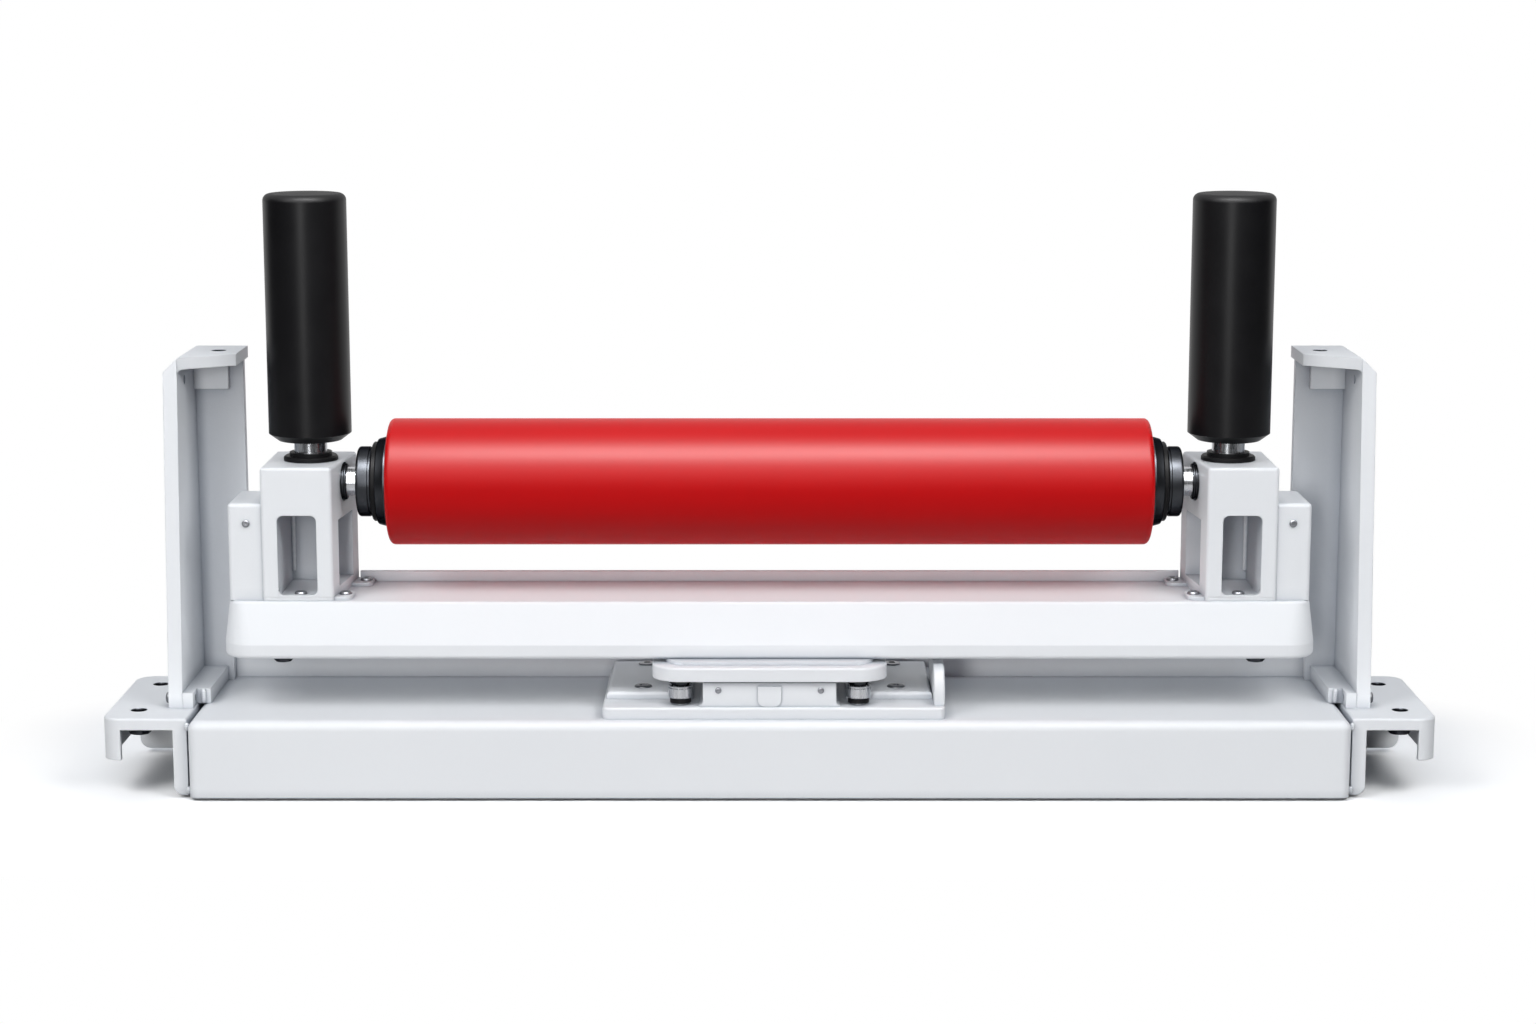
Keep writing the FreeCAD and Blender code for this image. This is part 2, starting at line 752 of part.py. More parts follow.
def make_deck_bolts():
    """Bolts through the end walls of the deck and the legs of the feet, with a nut each."""
    bolts, nuts = [], []
    grip = "(deck_wall + foot_gap + foot_leg)"
    for name, side in SIDES:
        turn = (FreeCAD.Vector(0, 1, 0), 90 * side)
        for end, sign in (("front", -1), ("back", 1)):
            spot = {"y": f"{sign} * {foot_bolt_y}", "z": foot_bolt_z, "turn": turn}
            label = f"{name}_{end}_deck"
            head = hex_prism(label + "_head", "bolt_flats", "bolt_head",
                             x=f"{side} * ({foot_in} + foot_leg)", **spot)
            shank = f"({grip} + bolt_nut + bolt_tip)"
            rod = cylinder(label + "_shank", "bolt_dia / 2", shank,
                           x=f"{side} * ({foot_in} + foot_leg - {shank})", **spot)
            bolts.append(joined("Part::Fuse", label + "_bolt", head, rod))
            nuts.append(hex_nut(label + "_nut", "bolt_flats", "bolt_nut", bolt_hole_r,
                                x=f"{side} * ({deck_end} - deck_wall - bolt_nut)", **spot))
    return [group("deck_bolts", bolts), group("deck_nuts", nuts)]


def make_post(name, side):
    """Side wall bent over into a flange, with a front edge that leans back and a narrower back wall."""
    post = new_body(f"{name}_end_post")
    flange_in = f"({post_out} - flange_length)"
    angle = sketch_on(post, "XZ_Plane", "post_front")
    polygon(angle, [(f"{side} * {x}", z) for x, z in (
        (post_in, "deck_height"), (post_out, "deck_height"), (post_out, post_top),
        (flange_in, post_top), (flange_in, flange_low), (post_in, flange_low))])
    pad(post, angle, f"post_front + {post_back}", reverse=True)
    chamfer_edges(post, "post_bend", straight("y", x=[side * value(post_out)], z=[value(post_top)]))
    round_edges(post, "post_bend_edge",
                straight("y", x=[side * value(post_out), side * value(f"{post_out} - post_bend")],
                         z=[value(post_top), value(f"{post_top} - post_bend")]))
    round_edges(post, "post_inner_bend", straight("y", x=[side * value(post_in)], z=[value(flange_low)]))
    lean = sketch_on(post, "YZ_Plane", f"{side} * {flange_in}")
    polygon(lean, [("-post_front", "deck_height"), ("-post_top_front", post_top), ("-post_front", post_top)])
    pocket(post, lean, "flange_length", along_normal=side > 0)
    slant = sketch_on(post, "XY_Plane", f"{flange_low} - post_inner_bend")
    polygon(slant, [(f"{side} * {x}", y) for x, y in (
        (post_in, "-post_top_front"), (flange_in, "flange_front"), (flange_in, "-post_front"),
        (post_in, "-post_front"))])
    pocket(post, slant, "flange_wall + post_inner_bend")
    back = sketch_on(post, "XZ_Plane", f"-{back_face}")
    low_in = f"({post_out} - back_wall_low_reach)"
    high_in = f"({post_out} - back_wall_reach)"
    step = "(deck_height + back_wall_step)"
    polygon(back, [(f"{side} * {x}", z) for x, z in (
        (post_in, "deck_height"), (low_in, "deck_height"), (low_in, step),
        (high_in, step), (high_in, flange_low), (post_in, flange_low))])
    pad(post, back, "post_back_wall", reverse=True)
    round_edges(post, "back_wall_corner", straight("y", x=[side * value(low_in)], z=[value(step)]))
    flange_hole = (f"{side} * ({post_out} - flange_hole_in)", f"({post_back} - flange_hole_back)")
    bore(post, "XY_Plane", flange_low, [flange_hole], "flange_hole_dia / 2", "flange_wall")
    side_hole = (f"({post_back} - side_hole_back)", f"({post_top} - side_hole_drop)")
    bore(post, "YZ_Plane", f"{side} * {post_in}", [side_hole], "side_hole_dia / 2", "post_wall", side > 0)
    bore(post, "YZ_Plane", f"{side} * {post_in}", tie_bolt_spots, tie_hole_r, "post_wall", side > 0)
    return post


def make_gusset(name, side):
    """Stiffening plate on the back wall, in the corner under the flange."""
    body = slab(f"{name}_gusset", side_span(side, f"({post_in} - gusset_length)", post_in),
                (f"({back_face} - gusset_depth)", back_face), "gusset_height",
                f"{flange_low} - gusset_height")
    round_edges(body, "post_inner_bend",
                straight("y", x=[side * value(post_in)], z=[value("gusset_height")]))
    return body


def make_tie_bar(name, side):
    """Bar that clamps the deck's edge and the foot together, at the bottom of the post."""
    bar = place(new_body(f"{name}_tie_bar"), z="deck_height")
    sketch = sketch_on(bar, "XY_Plane")
    wide = f"({post_in} - tie_width)"
    narrow = f"({post_in} - tie_front_width)"
    step = "(-post_front + tie_front_length)"
    polygon(sketch, [(f"{side} * {x}", y) for x, y in (
        (post_in, "-post_front"), (post_in, back_face), (wide, back_face),
        (wide, step), (narrow, step), (narrow, "-post_front"))])
    pad(bar, sketch, "tie_height")
    spots = [(y, "(tie_height / 2)") for y, z in tie_bolt_spots]
    bore(bar, "YZ_Plane", f"{side} * {post_in}", spots, tie_hole_r,
         "tie_screw_length - post_wall", side < 0)
    return bar


def make_tie_screws():
    screws = []
    for name, side in SIDES:
        for index, (y, z) in enumerate(tie_bolt_spots):
            screws.append(screw(f"{name}_tie_screw_{index}", "tie_screw_dia", "tie_screw_head_dia",
                                "tie_screw_head", "tie_screw_length", x=f"{side} * {post_out}", y=y, z=z,
                                turn=(FreeCAD.Vector(0, 1, 0), 90 * side)))
    return group("tie_screws", screws)


def make_pivot_base():
    plate = slab("pivot_base_plate", (f"-{plate_left}", plate_right), (f"-{plate_front}", plate_back),
                 "pivot_plate", "deck_height", "pivot_plate_corner", "pivot_plate_edge")
    bore(plate, "XY_Plane", "0", [("0", "0")], f"{pin_r} + run_fit + bush_wall", "pivot_plate")
    spots = [(x, y) for x in across(stop_bolt_x) for y in stop_bolt_ys]
    bore(plate, "XY_Plane", "0", spots, bolt_hole_r, "pivot_plate")
    stops = []
    for name, side in SIDES:
        stop = slab(f"{name}_stop_plate", side_span(side, stop_plate_in, stop_plate_out),
                    (stop_face, f"{plate_back} - stop_plate_margin"), "stop_plate", plate_top,
                    edge="stop_plate_edge")
        spots = [(f"{side} * {stop_bolt_x}", y) for y in stop_bolt_ys]
        bore(stop, "XY_Plane", "0", spots, bolt_hole_r, "stop_plate")
        stops.append(stop)
    return [plate, group("stop_plates", stops)]


def make_stop_bolts():
    """Button-headed bolts that hold the stop plates and the pivot base plate to the deck."""
    bolts, nuts = [], []
    grip = "(stop_plate + pivot_plate + deck_wall)"
    for name, side in SIDES:
        for index, y in enumerate(stop_bolt_ys):
            x = f"{side} * {stop_bolt_x}"
            bolts.append(screw(f"{name}_stop_bolt_{index}", "bolt_dia", "button_dia", "button_head",
                               f"({grip} + bolt_nut + bolt_tip)", x=x, y=y, z=f"{plate_top} + stop_plate"))
            nuts.append(hex_nut(f"{name}_stop_nut_{index}", "bolt_flats", "bolt_nut", bolt_hole_r,
                                x=x, y=y, z=f"{deck_under} - bolt_nut"))
    return [group("stop_plate_bolts", bolts), group("stop_plate_nuts", nuts)]


def make_pivot_housing():
    """Block that holds the pivot bush, with a concave flare along both sides of its foot."""
    body = place(new_body("pivot_housing"), z=plate_top)
    front = sketch_on(body, "XZ_Plane", housing_front)
    half, foot = housing_half, housing_foot_x
    bend = "(housing_foot + housing_flare)"
    polygon(front, [(foot, "0"), (foot, "housing_foot"), (half, bend), (half, "housing_height"),
                    (f"-{half}", "housing_height"), (f"-{half}", bend), (f"-{foot}", "housing_foot"),
                    (f"-{foot}", "0")],
            {1: (foot, bend, "housing_flare"), 5: (f"-{foot}", bend, "housing_flare")})
    pad(body, front, f"{housing_front} + housing_back", reverse=True)
    boss = sketch_on(body, "XZ_Plane", housing_front)
    rectangle(boss, across("housing_pad_width / 2"), ("0", "housing_height - housing_pad_drop"))
    pad(body, boss, "housing_pad_proud")
    round_edges(body, "housing_pad_corner",
                straight("y", x=[sign * value("housing_pad_width / 2") for sign in (-1, 1)], z=[0]))
    bore(body, "XY_Plane", "0", [("0", "0")], f"{pin_r} + run_fit + bush_wall", "housing_height")
    bore(body, "XY_Plane", "housing_height", [("0", "0")], "thrust_dia / 2 + seat_fit", "thrust_recess",
         along_normal=False)
    spots = [(x, "housing_screw_rise") for x in across(housing_screw_x)]
    bore(body, "XZ_Plane", housing_front, spots, small_hole_r, "small_screw_length", along_normal=False)
    return body


def make_housing_screws():
    screws = [screw(f"{name}_housing_screw", "small_screw_dia", "small_screw_head_dia", "small_screw_head",
                    "small_screw_length", x=f"{side} * {housing_screw_x}", y=f"-{housing_front}",
                    z=f"{plate_top} + housing_screw_rise", turn=(FreeCAD.Vector(1, 0, 0), 90))
              for name, side in SIDES]
    return group("housing_screws", screws)


def make_stop_lug():
    """Upright guard at the right end of the pivot base plate."""
    lug = new_body("stop_lug")
    outline = sketch_on(lug, "YZ_Plane", f"{plate_right} - lug_thick")
    lug_front = f"-({plate_front} - lug_margin)"
    rectangle(outline, (lug_front, "lug_back"), (plate_top, lug_top))
    pad(lug, outline, "lug_thick")
    round_edges(lug, "lug_corner", straight("x", y=[value(lug_front)], z=[value(lug_top)]))
    round_edges(lug, "lug_edge", flat_at("x", plate_right))
    return lug


def make_pivot():
    """Bush and thrust washer in the base, and the king pin that turns in them."""
    outer = f"({pin_r} + run_fit + bush_wall)"
    washer_low = f"({housing_top} - thrust_recess)"
    bush = ring("pivot_bush", f"{pin_r} + run_fit", f"{outer} - seat_fit", "deck_height", washer_low)
    washer = ring("thrust_washer", f"{pin_r} + pin_clear", "thrust_dia / 2", washer_low, swivel_low)
    head_top = f"({lip_low} + king_pin_head)"
    tip = f"({deck_under} - king_washer - king_nut - king_pin_tip)"
    head_r = "(king_pin_head_dia / 2)"
    pin = turned("king_pin", [("0", tip), (pin_r, tip), (pin_r, lip_low), (head_r, lip_low),
                              (head_r, head_top), ("0", head_top)])
    round_edges(pin, "king_pin_edge", flat_at("z", head_top))
    pin_washer = ring("king_pin_washer", pin_fit_r, "king_washer_dia / 2", f"{deck_under} - king_washer",
                      deck_under)
    nut = hex_nut("king_pin_nut", "king_nut_flats", "king_nut", pin_fit_r,
                  z=f"{deck_under} - king_washer - king_nut")
    return [bush, washer, pin, pin_washer, nut]


def make_swivel_plate():
    plate = slab("swivel_plate", across(swivel_x), across(swivel_y), "swivel_plate", swivel_low,
                 "swivel_corner", "swivel_edge")
    bore(plate, "XY_Plane", "0", [("0", "0")], pin_fit_r, "swivel_plate")
    bore(plate, "XY_Plane", "0", [(x, f"-{stop_post_y}") for x in across(stop_post_x)],
         "stop_stud_dia / 2 + seat_fit", "swivel_plate")
    spacer = slab("spacer_plate", across(f"({swivel_x} - spacer_inset)"),
                  across(f"({swivel_y} - spacer_inset)"), "spacer_plate", swivel_top, "spacer_corner")
    bore(spacer, "XY_Plane", "0", [("0", "0")], pin_fit_r, "spacer_plate")
    return [plate, spacer]


def make_stop_posts():
    """Studs below the swivel plate, each with a lock nut, a sleeve and a free-turning stop roller."""
    studs, sleeves, nuts, rollers = [], [], [], []
    stud_r = "(stop_stud_dia / 2)"
    head_top = f"({stop_head_z} + stop_head)"
    for name, side in SIDES:
        spot = {"x": f"{side} * {stop_post_x}", "y": f"-{stop_post_y}"}
        studs.append(turned(f"{name}_stop_stud", [
            ("0", stop_head_z), ("stop_head_dia / 2", stop_head_z), ("stop_head_dia / 2", head_top),
            (stud_r, head_top), (stud_r, swivel_top), ("0", swivel_top)], **spot))
        sleeves.append(ring(f"{name}_stop_sleeve", f"{stud_r} + seat_fit", "stop_sleeve_dia / 2",
                            stop_sleeve_z, stop_nut_z, **spot))
        nuts.append(hex_nut(f"{name}_stop_lock_nut", "stop_nut_flats", "stop_nut", f"{stud_r} + seat_fit",
                            z=stop_nut_z, **spot))
        rollers.append(ring(f"{name}_stop_roller", f"{stud_r} + run_fit", "stop_roller_dia / 2",
                            stop_roller_z, f"({stop_roller_z} + stop_roller)", **spot))
    return [group("stop_studs", studs), group("stop_sleeves", sleeves),
            group("stop_lock_nuts", nuts)] + rollers


def loft(body, kind, sections):
    feature = body.newObject(kind, "Loft")
    feature.Profile = sections[0]
    feature.Sections = sections[1:]
    feature.Ruled = True
    return feature


def make_carrier():
    """Pressed beam, open below: a flat top, sides that flare outwards, and an upright lip all round."""
    beam = new_body("carrier_beam")
    half_x, half_y = carrier_end, carrier_y
    top_x, top_y = f"({carrier_end} - carrier_top_inset)", carrier_top_y
    lip = sketch_on(beam, "XY_Plane", lip_low)
    rounded_rectangle(lip, half_x, half_y, "carrier_corner")
    pad(beam, lip, "carrier_lip")
    shoulder = sketch_on(beam, "XY_Plane", lip_top)
    rounded_rectangle(shoulder, half_x, half_y, "carrier_corner")
    top = sketch_on(beam, "XY_Plane", carrier_top)
    rounded_rectangle(top, top_x, top_y, "carrier_top_corner")
    loft(beam, "PartDesign::AdditiveLoft", [shoulder, top])
    round_edges(beam, "carrier_edge", flat_at("z", carrier_top))
    round_edges(beam, "carrier_lip_edge", flat_at("z", lip_low))
    inner_x, inner_y = f"({half_x} - carrier_wall)", f"({half_y} - carrier_wall)"
    hollow = sketch_on(beam, "XY_Plane", lip_low)
    rounded_rectangle(hollow, inner_x, inner_y, "(carrier_corner - carrier_wall)")
    pocket(beam, hollow, "carrier_lip")
    low = sketch_on(beam, "XY_Plane", lip_top)
    rounded_rectangle(low, inner_x, inner_y, "(carrier_corner - carrier_wall)")
    high = sketch_on(beam, "XY_Plane", web_low)
    rounded_rectangle(high, f"({top_x} - carrier_wall)", f"({top_y} - carrier_wall)",
                      "(carrier_top_corner - carrier_wall)")
    loft(beam, "PartDesign::SubtractiveLoft", [low, high])
    spots = [(f"{side} * {x}", y) for name, side in SIDES for x, y in block_bolts]
    bore(beam, "XY_Plane", web_low, spots, block_hole_r, "carrier_wall")
    upstand_back = f"({top_y} - carrier_edge)"
    upstand = slab("rear_upstand", across(f"({block_back_in} - ear_length - upstand_gap)"),
                   (f"{upstand_back} - upstand_wall", upstand_back), "upstand_height", carrier_top,
                   edge="upstand_edge")
    return [beam, upstand]


def block_outline(side):
    """Plan of a roller block, which is wider at the back than at the front."""
    return [(f"{side} * {x}", y) for x, y in (
        (block_in, f"-{block_half}"), (block_out, f"-{block_half}"), (block_out, block_half),
        (block_back_in, block_half))]


def make_block_base(name, side):
    """Plate under a roller block, with two ears towards the roller."""
    base = place(new_body(f"{name}_block_base"), z=carrier_top)
    outline = sketch_on(base, "XY_Plane")
    polygon(outline, block_outline(side))
    pad(base, outline, "block_base")
    round_edges(base, "block_edge", straight("z"))
    ears = sketch_on(base, "XY_Plane")
    inner_y, outer_y = f"({block_half} - carrier_edge - ear_width)", f"({block_half} - carrier_edge)"
    ear_ends = [f"({start} - ear_length)" for start in (block_in, block_back_in)]
    for sign, ear_end in zip((-1, 1), ear_ends):
        rectangle(ears, side_span(side, ear_end, block_in), (f"{sign} * {inner_y}", f"{sign} * {outer_y}"))
    pad(base, ears, "block_base")
    round_edges(base, "ear_corner", straight("z", x=[side * value(ear_end) for ear_end in ear_ends]))
    spots = [(f"{side} * {x}", y) for x, y in block_bolts]
    bore(base, "XY_Plane", "0", spots, block_hole_r, "block_base")
    return base


def make_block(name, side):
    """Hollow block that holds one end of the roller shaft and one guide spindle."""
    block = place(new_body(f"{name}_roller_block"), z=carrier_top)
    outline = sketch_on(block, "XY_Plane", "block_base")
    polygon(outline, block_outline(side))
    pad(block, outline, "block_height - block_base")
    round_edges(block, "block_edge", straight("z"))
    round_edges(block, "block_edge", flat_at("z", "block_height"))
    window_in, window_out = f"({block_mid} - window_width / 2)", f"({block_mid} + window_width / 2)"
    window = sketch_on(block, "XZ_Plane", block_half)
    rectangle(window, side_span(side, window_in, window_out), ("block_base", window_top))
    pocket(block, window, "block_depth - window_back", along_normal=False)
    round_edges(block, "window_corner", straight("y", x=[side * value(x) for x in (window_in, window_out)],
                                                 z=[value(window_top)]))
    side_face = f"{side} * {block_back_in}"
    opening = sketch_on(block, "YZ_Plane", side_face)
    rectangle(opening, across("side_window_width / 2"),
              ("side_window_low", f"{window_top} - side_window_drop"))
    pocket(block, opening, f"{window_in} - {block_back_in}", along_normal=side > 0)
    axis = [("0", shaft_rise)]
    bore(block, "YZ_Plane", side_face, axis, shaft_fit_r, f"{shaft_end} - {block_back_in}", side > 0)
    bore(block, "YZ_Plane", side_face, axis, "collar_dia / 2 + collar_seat_gap", "block_slant", side > 0)
    bore(block, "XY_Plane", "block_height", [(f"{side} * {guide_x}", "0")], "spindle_dia / 2 + seat_fit",
         "spindle_seat", along_normal=False)
    boss = sketch_on(block, "XZ_Plane", f"{cover_front} - cover_wall")
    boss_out = f"({cover_out} - cover_wall - cover_boss_gap)"
    boss_low = f"({cover_screw_rise} - cover_boss_size / 2)"
    boss_high = f"({cover_screw_rise} + cover_boss_size / 2 - cover_wall)"
    rectangle(boss, side_span(side, f"({block_out} - block_edge)", boss_out), (boss_low, boss_high))
    pad(block, boss, "cover_boss_depth", reverse=True)
    bore(block, "XZ_Plane", f"{cover_front} - cover_wall", [(f"{side} * {cover_screw_x}", cover_screw_rise)],
         small_hole_r, "cover_boss_depth", along_normal=False)
    return block


def make_cover(name, side):
    """Cap over the outer side of the roller block, open below and towards the block."""
    cover = place(new_body(f"{name}_end_cover"), z=carrier_top)
    outline = sketch_on(cover, "XY_Plane")
    rectangle(outline, side_span(side, block_out, cover_out), (f"-{cover_front}", cover_back))
    pad(cover, outline, cover_rise)
    round_edges(cover, "cover_edge", straight("z", x=[side * value(cover_out)]))
    round_edges(cover, "cover_edge", lambda edge: flat_at("z", cover_rise)(edge)
                and not flat_at("x", f"{side} * {block_out}")(edge))
    hollow = sketch_on(cover, "YZ_Plane", f"{side} * {block_out}")
    rectangle(hollow, (f"-{cover_front} + cover_wall", f"{cover_back} - cover_wall"),
              ("0", f"{cover_rise} - cover_wall"))
    pocket(cover, hollow, "cover_length - cover_wall", along_normal=side > 0)
    bore(cover, "XZ_Plane", cover_front, [(f"{side} * {cover_screw_x}", cover_screw_rise)], small_hole_r,
         "cover_wall", along_normal=False)
    return cover


def make_cover_screws():
    screws = [screw(f"{name}_cover_screw", "small_screw_dia", "small_screw_head_dia", "small_screw_head",
                    "small_screw_length", x=f"{side} * {cover_screw_x}", y=f"-{cover_front}",
                    z=f"{carrier_top} + {cover_screw_rise}", turn=(FreeCAD.Vector(1, 0, 0), 90))
              for name, side in SIDES]
    return group("cover_screws", screws)


def make_block_bolts():
    bolts, nuts = [], []
    for name, side in SIDES:
        for index, (x, y) in enumerate(block_bolts):
            spot = {"x": f"{side} * {x}", "y": y}
            bolts.append(hex_bolt(f"{name}_block_bolt_{index}", seat=f"({carrier_top} + block_base)",
                                  grip="(block_base + carrier_wall)", **spot))
            nuts.append(hex_nut(f"{name}_block_nut_{index}", "block_bolt_flats", "block_bolt_nut",
                                block_hole_r, z=f"{web_low} - block_bolt_nut", **spot))
    return [group("block_bolts", bolts), group("block_nuts", nuts)]


def make_roller():
    """Steel tube with a lagging sleeve, an end housing, bearing and seal at each end."""
    axis = {"z": roller_axis}
    tube_x = f"({face_end} - tube_inset)"
    bore_r = f"({tube_r} - tube_wall)"
    tube = turned("roller_tube", [(f"-{tube_x}", bore_r), (tube_x, bore_r), (tube_x, tube_r),
                                  (f"-{tube_x}", tube_r)], "H_Axis", **axis)
    skin_r = "(roller_dia / 2)"
    lagging = turned("roller_lagging", [(f"-{face_end}", tube_r), (face_end, tube_r), (face_end, skin_r),
                                        (f"-{face_end}", skin_r)], "H_Axis", **axis)
    round_edges(lagging, "lagging_edge", circle_of(skin_r))
    seat_r = "(bearing_dia / 2)"
    ball_r = f"(({seat_r} - {shaft_fit_r}) / 2 - bearing_ring - ball_gap)"
    pitch_r = f"(({seat_r} + {shaft_fit_r}) / 2)"
    housings, outers, inners, seals, balls, caps, collars = [], [], [], [], [], [], []
    for name, side in SIDES:
        web_x = f"({bearing_x0} - housing_web)"
        plug_x = f"({face_end} - tube_inset)"
        points = [(web_x, f"{seat_r} - housing_shoulder"), (web_x, bore_r), (plug_x, bore_r),
                  (plug_x, hub_ring_r), (ring_x, hub_ring_r), (ring_x, seat_r),
                  (bearing_x0, seat_r), (bearing_x0, f"{seat_r} - housing_shoulder")]
        housings.append(turned(f"{name}_end_housing", [(f"{side} * {x}", r) for x, r in points],
                               "H_Axis", **axis))
        outers.append(shaft_ring(f"{name}_outer_ring", side, bearing_x0, bearing_x1,
                                 f"({seat_r} - bearing_ring)", f"({seat_r} - seat_fit)", **axis))
        inners.append(shaft_ring(f"{name}_inner_ring", side, bearing_x0, bearing_x1,
                                 shaft_fit_r, f"({shaft_fit_r} + bearing_ring)", **axis))
        seal_bore = f"({shaft_r} + hub_sleeve_wall + seal_bore_gap)"
        points = [(bearing_x1, seal_bore), (bearing_x1, f"{seat_r} - seat_fit"),
                  (ring_x, f"{seat_r} - seat_fit"), (ring_x, seal_r), (seal_x, seal_r),
                  (seal_x, seal_bore)]
        seals.append(turned(f"{name}_seal", [(f"{side} * {x}", r) for x, r in points], "H_Axis", **axis))
        points = [(bearing_x1, shaft_fit_r), (bearing_x1, sleeve_r), (cap_x0, sleeve_r),
                  (cap_x0, hub_cap_r), (f"{cap_x1} - hub_cap_chamfer", hub_cap_r),
                  (cap_x1, f"{hub_cap_r} - hub_cap_chamfer"), (cap_x1, shaft_fit_r)]
        caps.append(turned(f"{name}_hub_cap", [(f"{side} * ({x})", r) for x, r in points],
                           "H_Axis", **axis))
        collars.append(shaft_ring(f"{name}_collar", side, f"({block_in} - collar_width)", block_in,
                                  shaft_fit_r, "collar_dia / 2", **axis))
        count = int(SIZES["bearing_balls"])
        for index in range(count):
            ball = doc.addObject("Part::Sphere", f"{name}_ball_{index}")
            ball.setExpression("Radius", bound(ball_r))
            angle = f"({index} * 360 deg / bearing_balls)"
            balls.append(place(ball, f"{side} * ({bearing_x0} + {bearing_x1}) / 2",
                               f"{pitch_r} * cos({angle})", f"{roller_axis} + {pitch_r} * sin({angle})"))
    tip_r = f"({shaft_r} - shaft_chamfer)"
    half_shaft = [(shaft_end, "0"), (shaft_end, tip_r), (f"({shaft_end} - shaft_chamfer)", shaft_r),
                  (bearing_x0, shaft_r), (bearing_x0, "shaft_shoulder_dia / 2")]
    far_half = [(f"-{x}", r) for x, r in reversed(half_shaft)]
    shaft = turned("roller_shaft", half_shaft + far_half, "H_Axis", **axis)
    return [tube, lagging, shaft, group("end_housings", housings), group("bearing_outer_rings", outers),
            group("bearing_inner_rings", inners), group("bearing_balls", balls),
            group("roller_seals", seals), group("hub_caps", caps), group("shaft_collars", collars)]


def make_guide(name, side):
    """Upright edge roller on two shielded bearings."""
    spot = {"x": f"{side} * {guide_x}"}
    outer_r = "(guide_dia / 2)"
    bore_r = f"({guide_seat_r} + seat_fit)"
    roof = f"({guide_top} - guide_roof)"
    shell = turned(f"{name}_guide_shell", [
        ("0", roof), (bore_r, roof), (bore_r, guide_low), (f"{outer_r} - guide_chamfer", guide_low),
        (outer_r, f"{guide_low} + guide_chamfer_rise"), (outer_r, guide_top),
        ("0", f"{guide_top} + guide_dome")], **spot)
    round_edges(shell, "guide_edge",
                lambda edge: circle_of(outer_r)(edge) and flat_at("z", guide_top)(edge))
    spindle_r = "(spindle_dia / 2)"
    fit_r = "(spindle_dia / 2 + seat_fit)"
    low_bearing = f"({guide_low} + guide_bearing_inset)"
    nut_low = f"({roof} - spindle_tip - spindle_nut - spindle_nut_gap)"
    high_bearing = f"({nut_low} - guide_bearing_width)"
    inner_r = f"({fit_r} + guide_bearing_ring)"
    rim_r = guide_seat_r
    outers, inners = [], []
    for place_name, low in (("low", low_bearing), ("high", high_bearing)):
        high = f"({low} + guide_bearing_width)"
        lip_r = f"({inner_r} + ball_gap)"
        race_r = f"({rim_r} - guide_bearing_ring)"
        outers.append(turned(f"{name}_guide_outer_{place_name}", [
            (lip_r, low), (rim_r, low), (rim_r, high), (lip_r, high), (lip_r, f"{high} - guide_shield"),
            (race_r, f"{high} - guide_shield"), (race_r, f"{low} + guide_shield"),
            (lip_r, f"{low} + guide_shield")], **spot))
        inners.append(ring(f"{name}_guide_inner_{place_name}", fit_r, inner_r, low, high, **spot))
    neck_r = "(spindle_neck / 2)"
    seal = ring(f"{name}_guide_seal", f"{neck_r} + ball_gap", rim_r, f"({low_bearing} - guide_seal)",
                low_bearing, **spot)
    nut_top = f"({nut_low} + spindle_nut)"
    spindle = turned(f"{name}_guide_spindle", [
        ("0", f"{block_top} - spindle_seat"), (spindle_r, f"{block_top} - spindle_seat"),
        (spindle_r, block_top), (neck_r, block_top), (neck_r, low_bearing), (spindle_r, low_bearing),
        (spindle_r, f"{nut_top} + spindle_tip"), ("0", f"{nut_top} + spindle_tip")], **spot)
    nut = ring(f"{name}_spindle_nut", fit_r, "spindle_nut_dia / 2", nut_low, nut_top, **spot)
    step = f"({block_top} + guide_collar)"
    collar = turned(f"{name}_guide_collar", [
        (f"{neck_r} + seat_fit", block_top), ("guide_collar_dia / 2", block_top),
        ("guide_collar_dia / 2", f"{step} - guide_collar_edge"),
        ("guide_collar_dia / 2 - guide_collar_edge", step),
        ("guide_collar_step_dia / 2", step), ("guide_collar_step_dia / 2", f"{step} + guide_collar_step"),
        (f"{neck_r} + seat_fit", f"{step} + guide_collar_step")], **spot)
    moving = [shell, group(f"{name}_guide_outer_rings", outers), seal]
    return moving, spindle, inners, nut, collar


def make_guides():
    parts, spindles, inner_rings, nuts, collars = [], [], [], [], []
    for name, side in SIDES:
        moving, spindle, inners, nut, collar = make_guide(name, side)
        parts += moving
        spindles.append(spindle)
        inner_rings += inners
        nuts.append(nut)
        collars.append(collar)
    return parts + [group("guide_spindles", spindles), group("guide_inner_rings", inner_rings),
                    group("spindle_nuts", nuts), group("guide_collars", collars)]


def owner(item):
    body = item.getParentGeoFeatureGroup()
    return f"{body.Label}: {item.Label}" if body else item.Label


def check_document():
    """Stop if an object failed to recompute, or if a pocket cut nothing."""
    doc.recompute()
    failed = [owner(item) for item in doc.Objects if {"Invalid", "Error"} & set(item.State)]
    if failed:
        raise RuntimeError(f"failed to recompute: {failed}")
    idle = [owner(item) for item in doc.Objects if item.TypeId == "PartDesign::Pocket"
            and item.Shape.Volume > item.BaseFeature.Shape.Volume - NEAR]
    if idle:
        raise RuntimeError(f"cut nothing: {idle}")


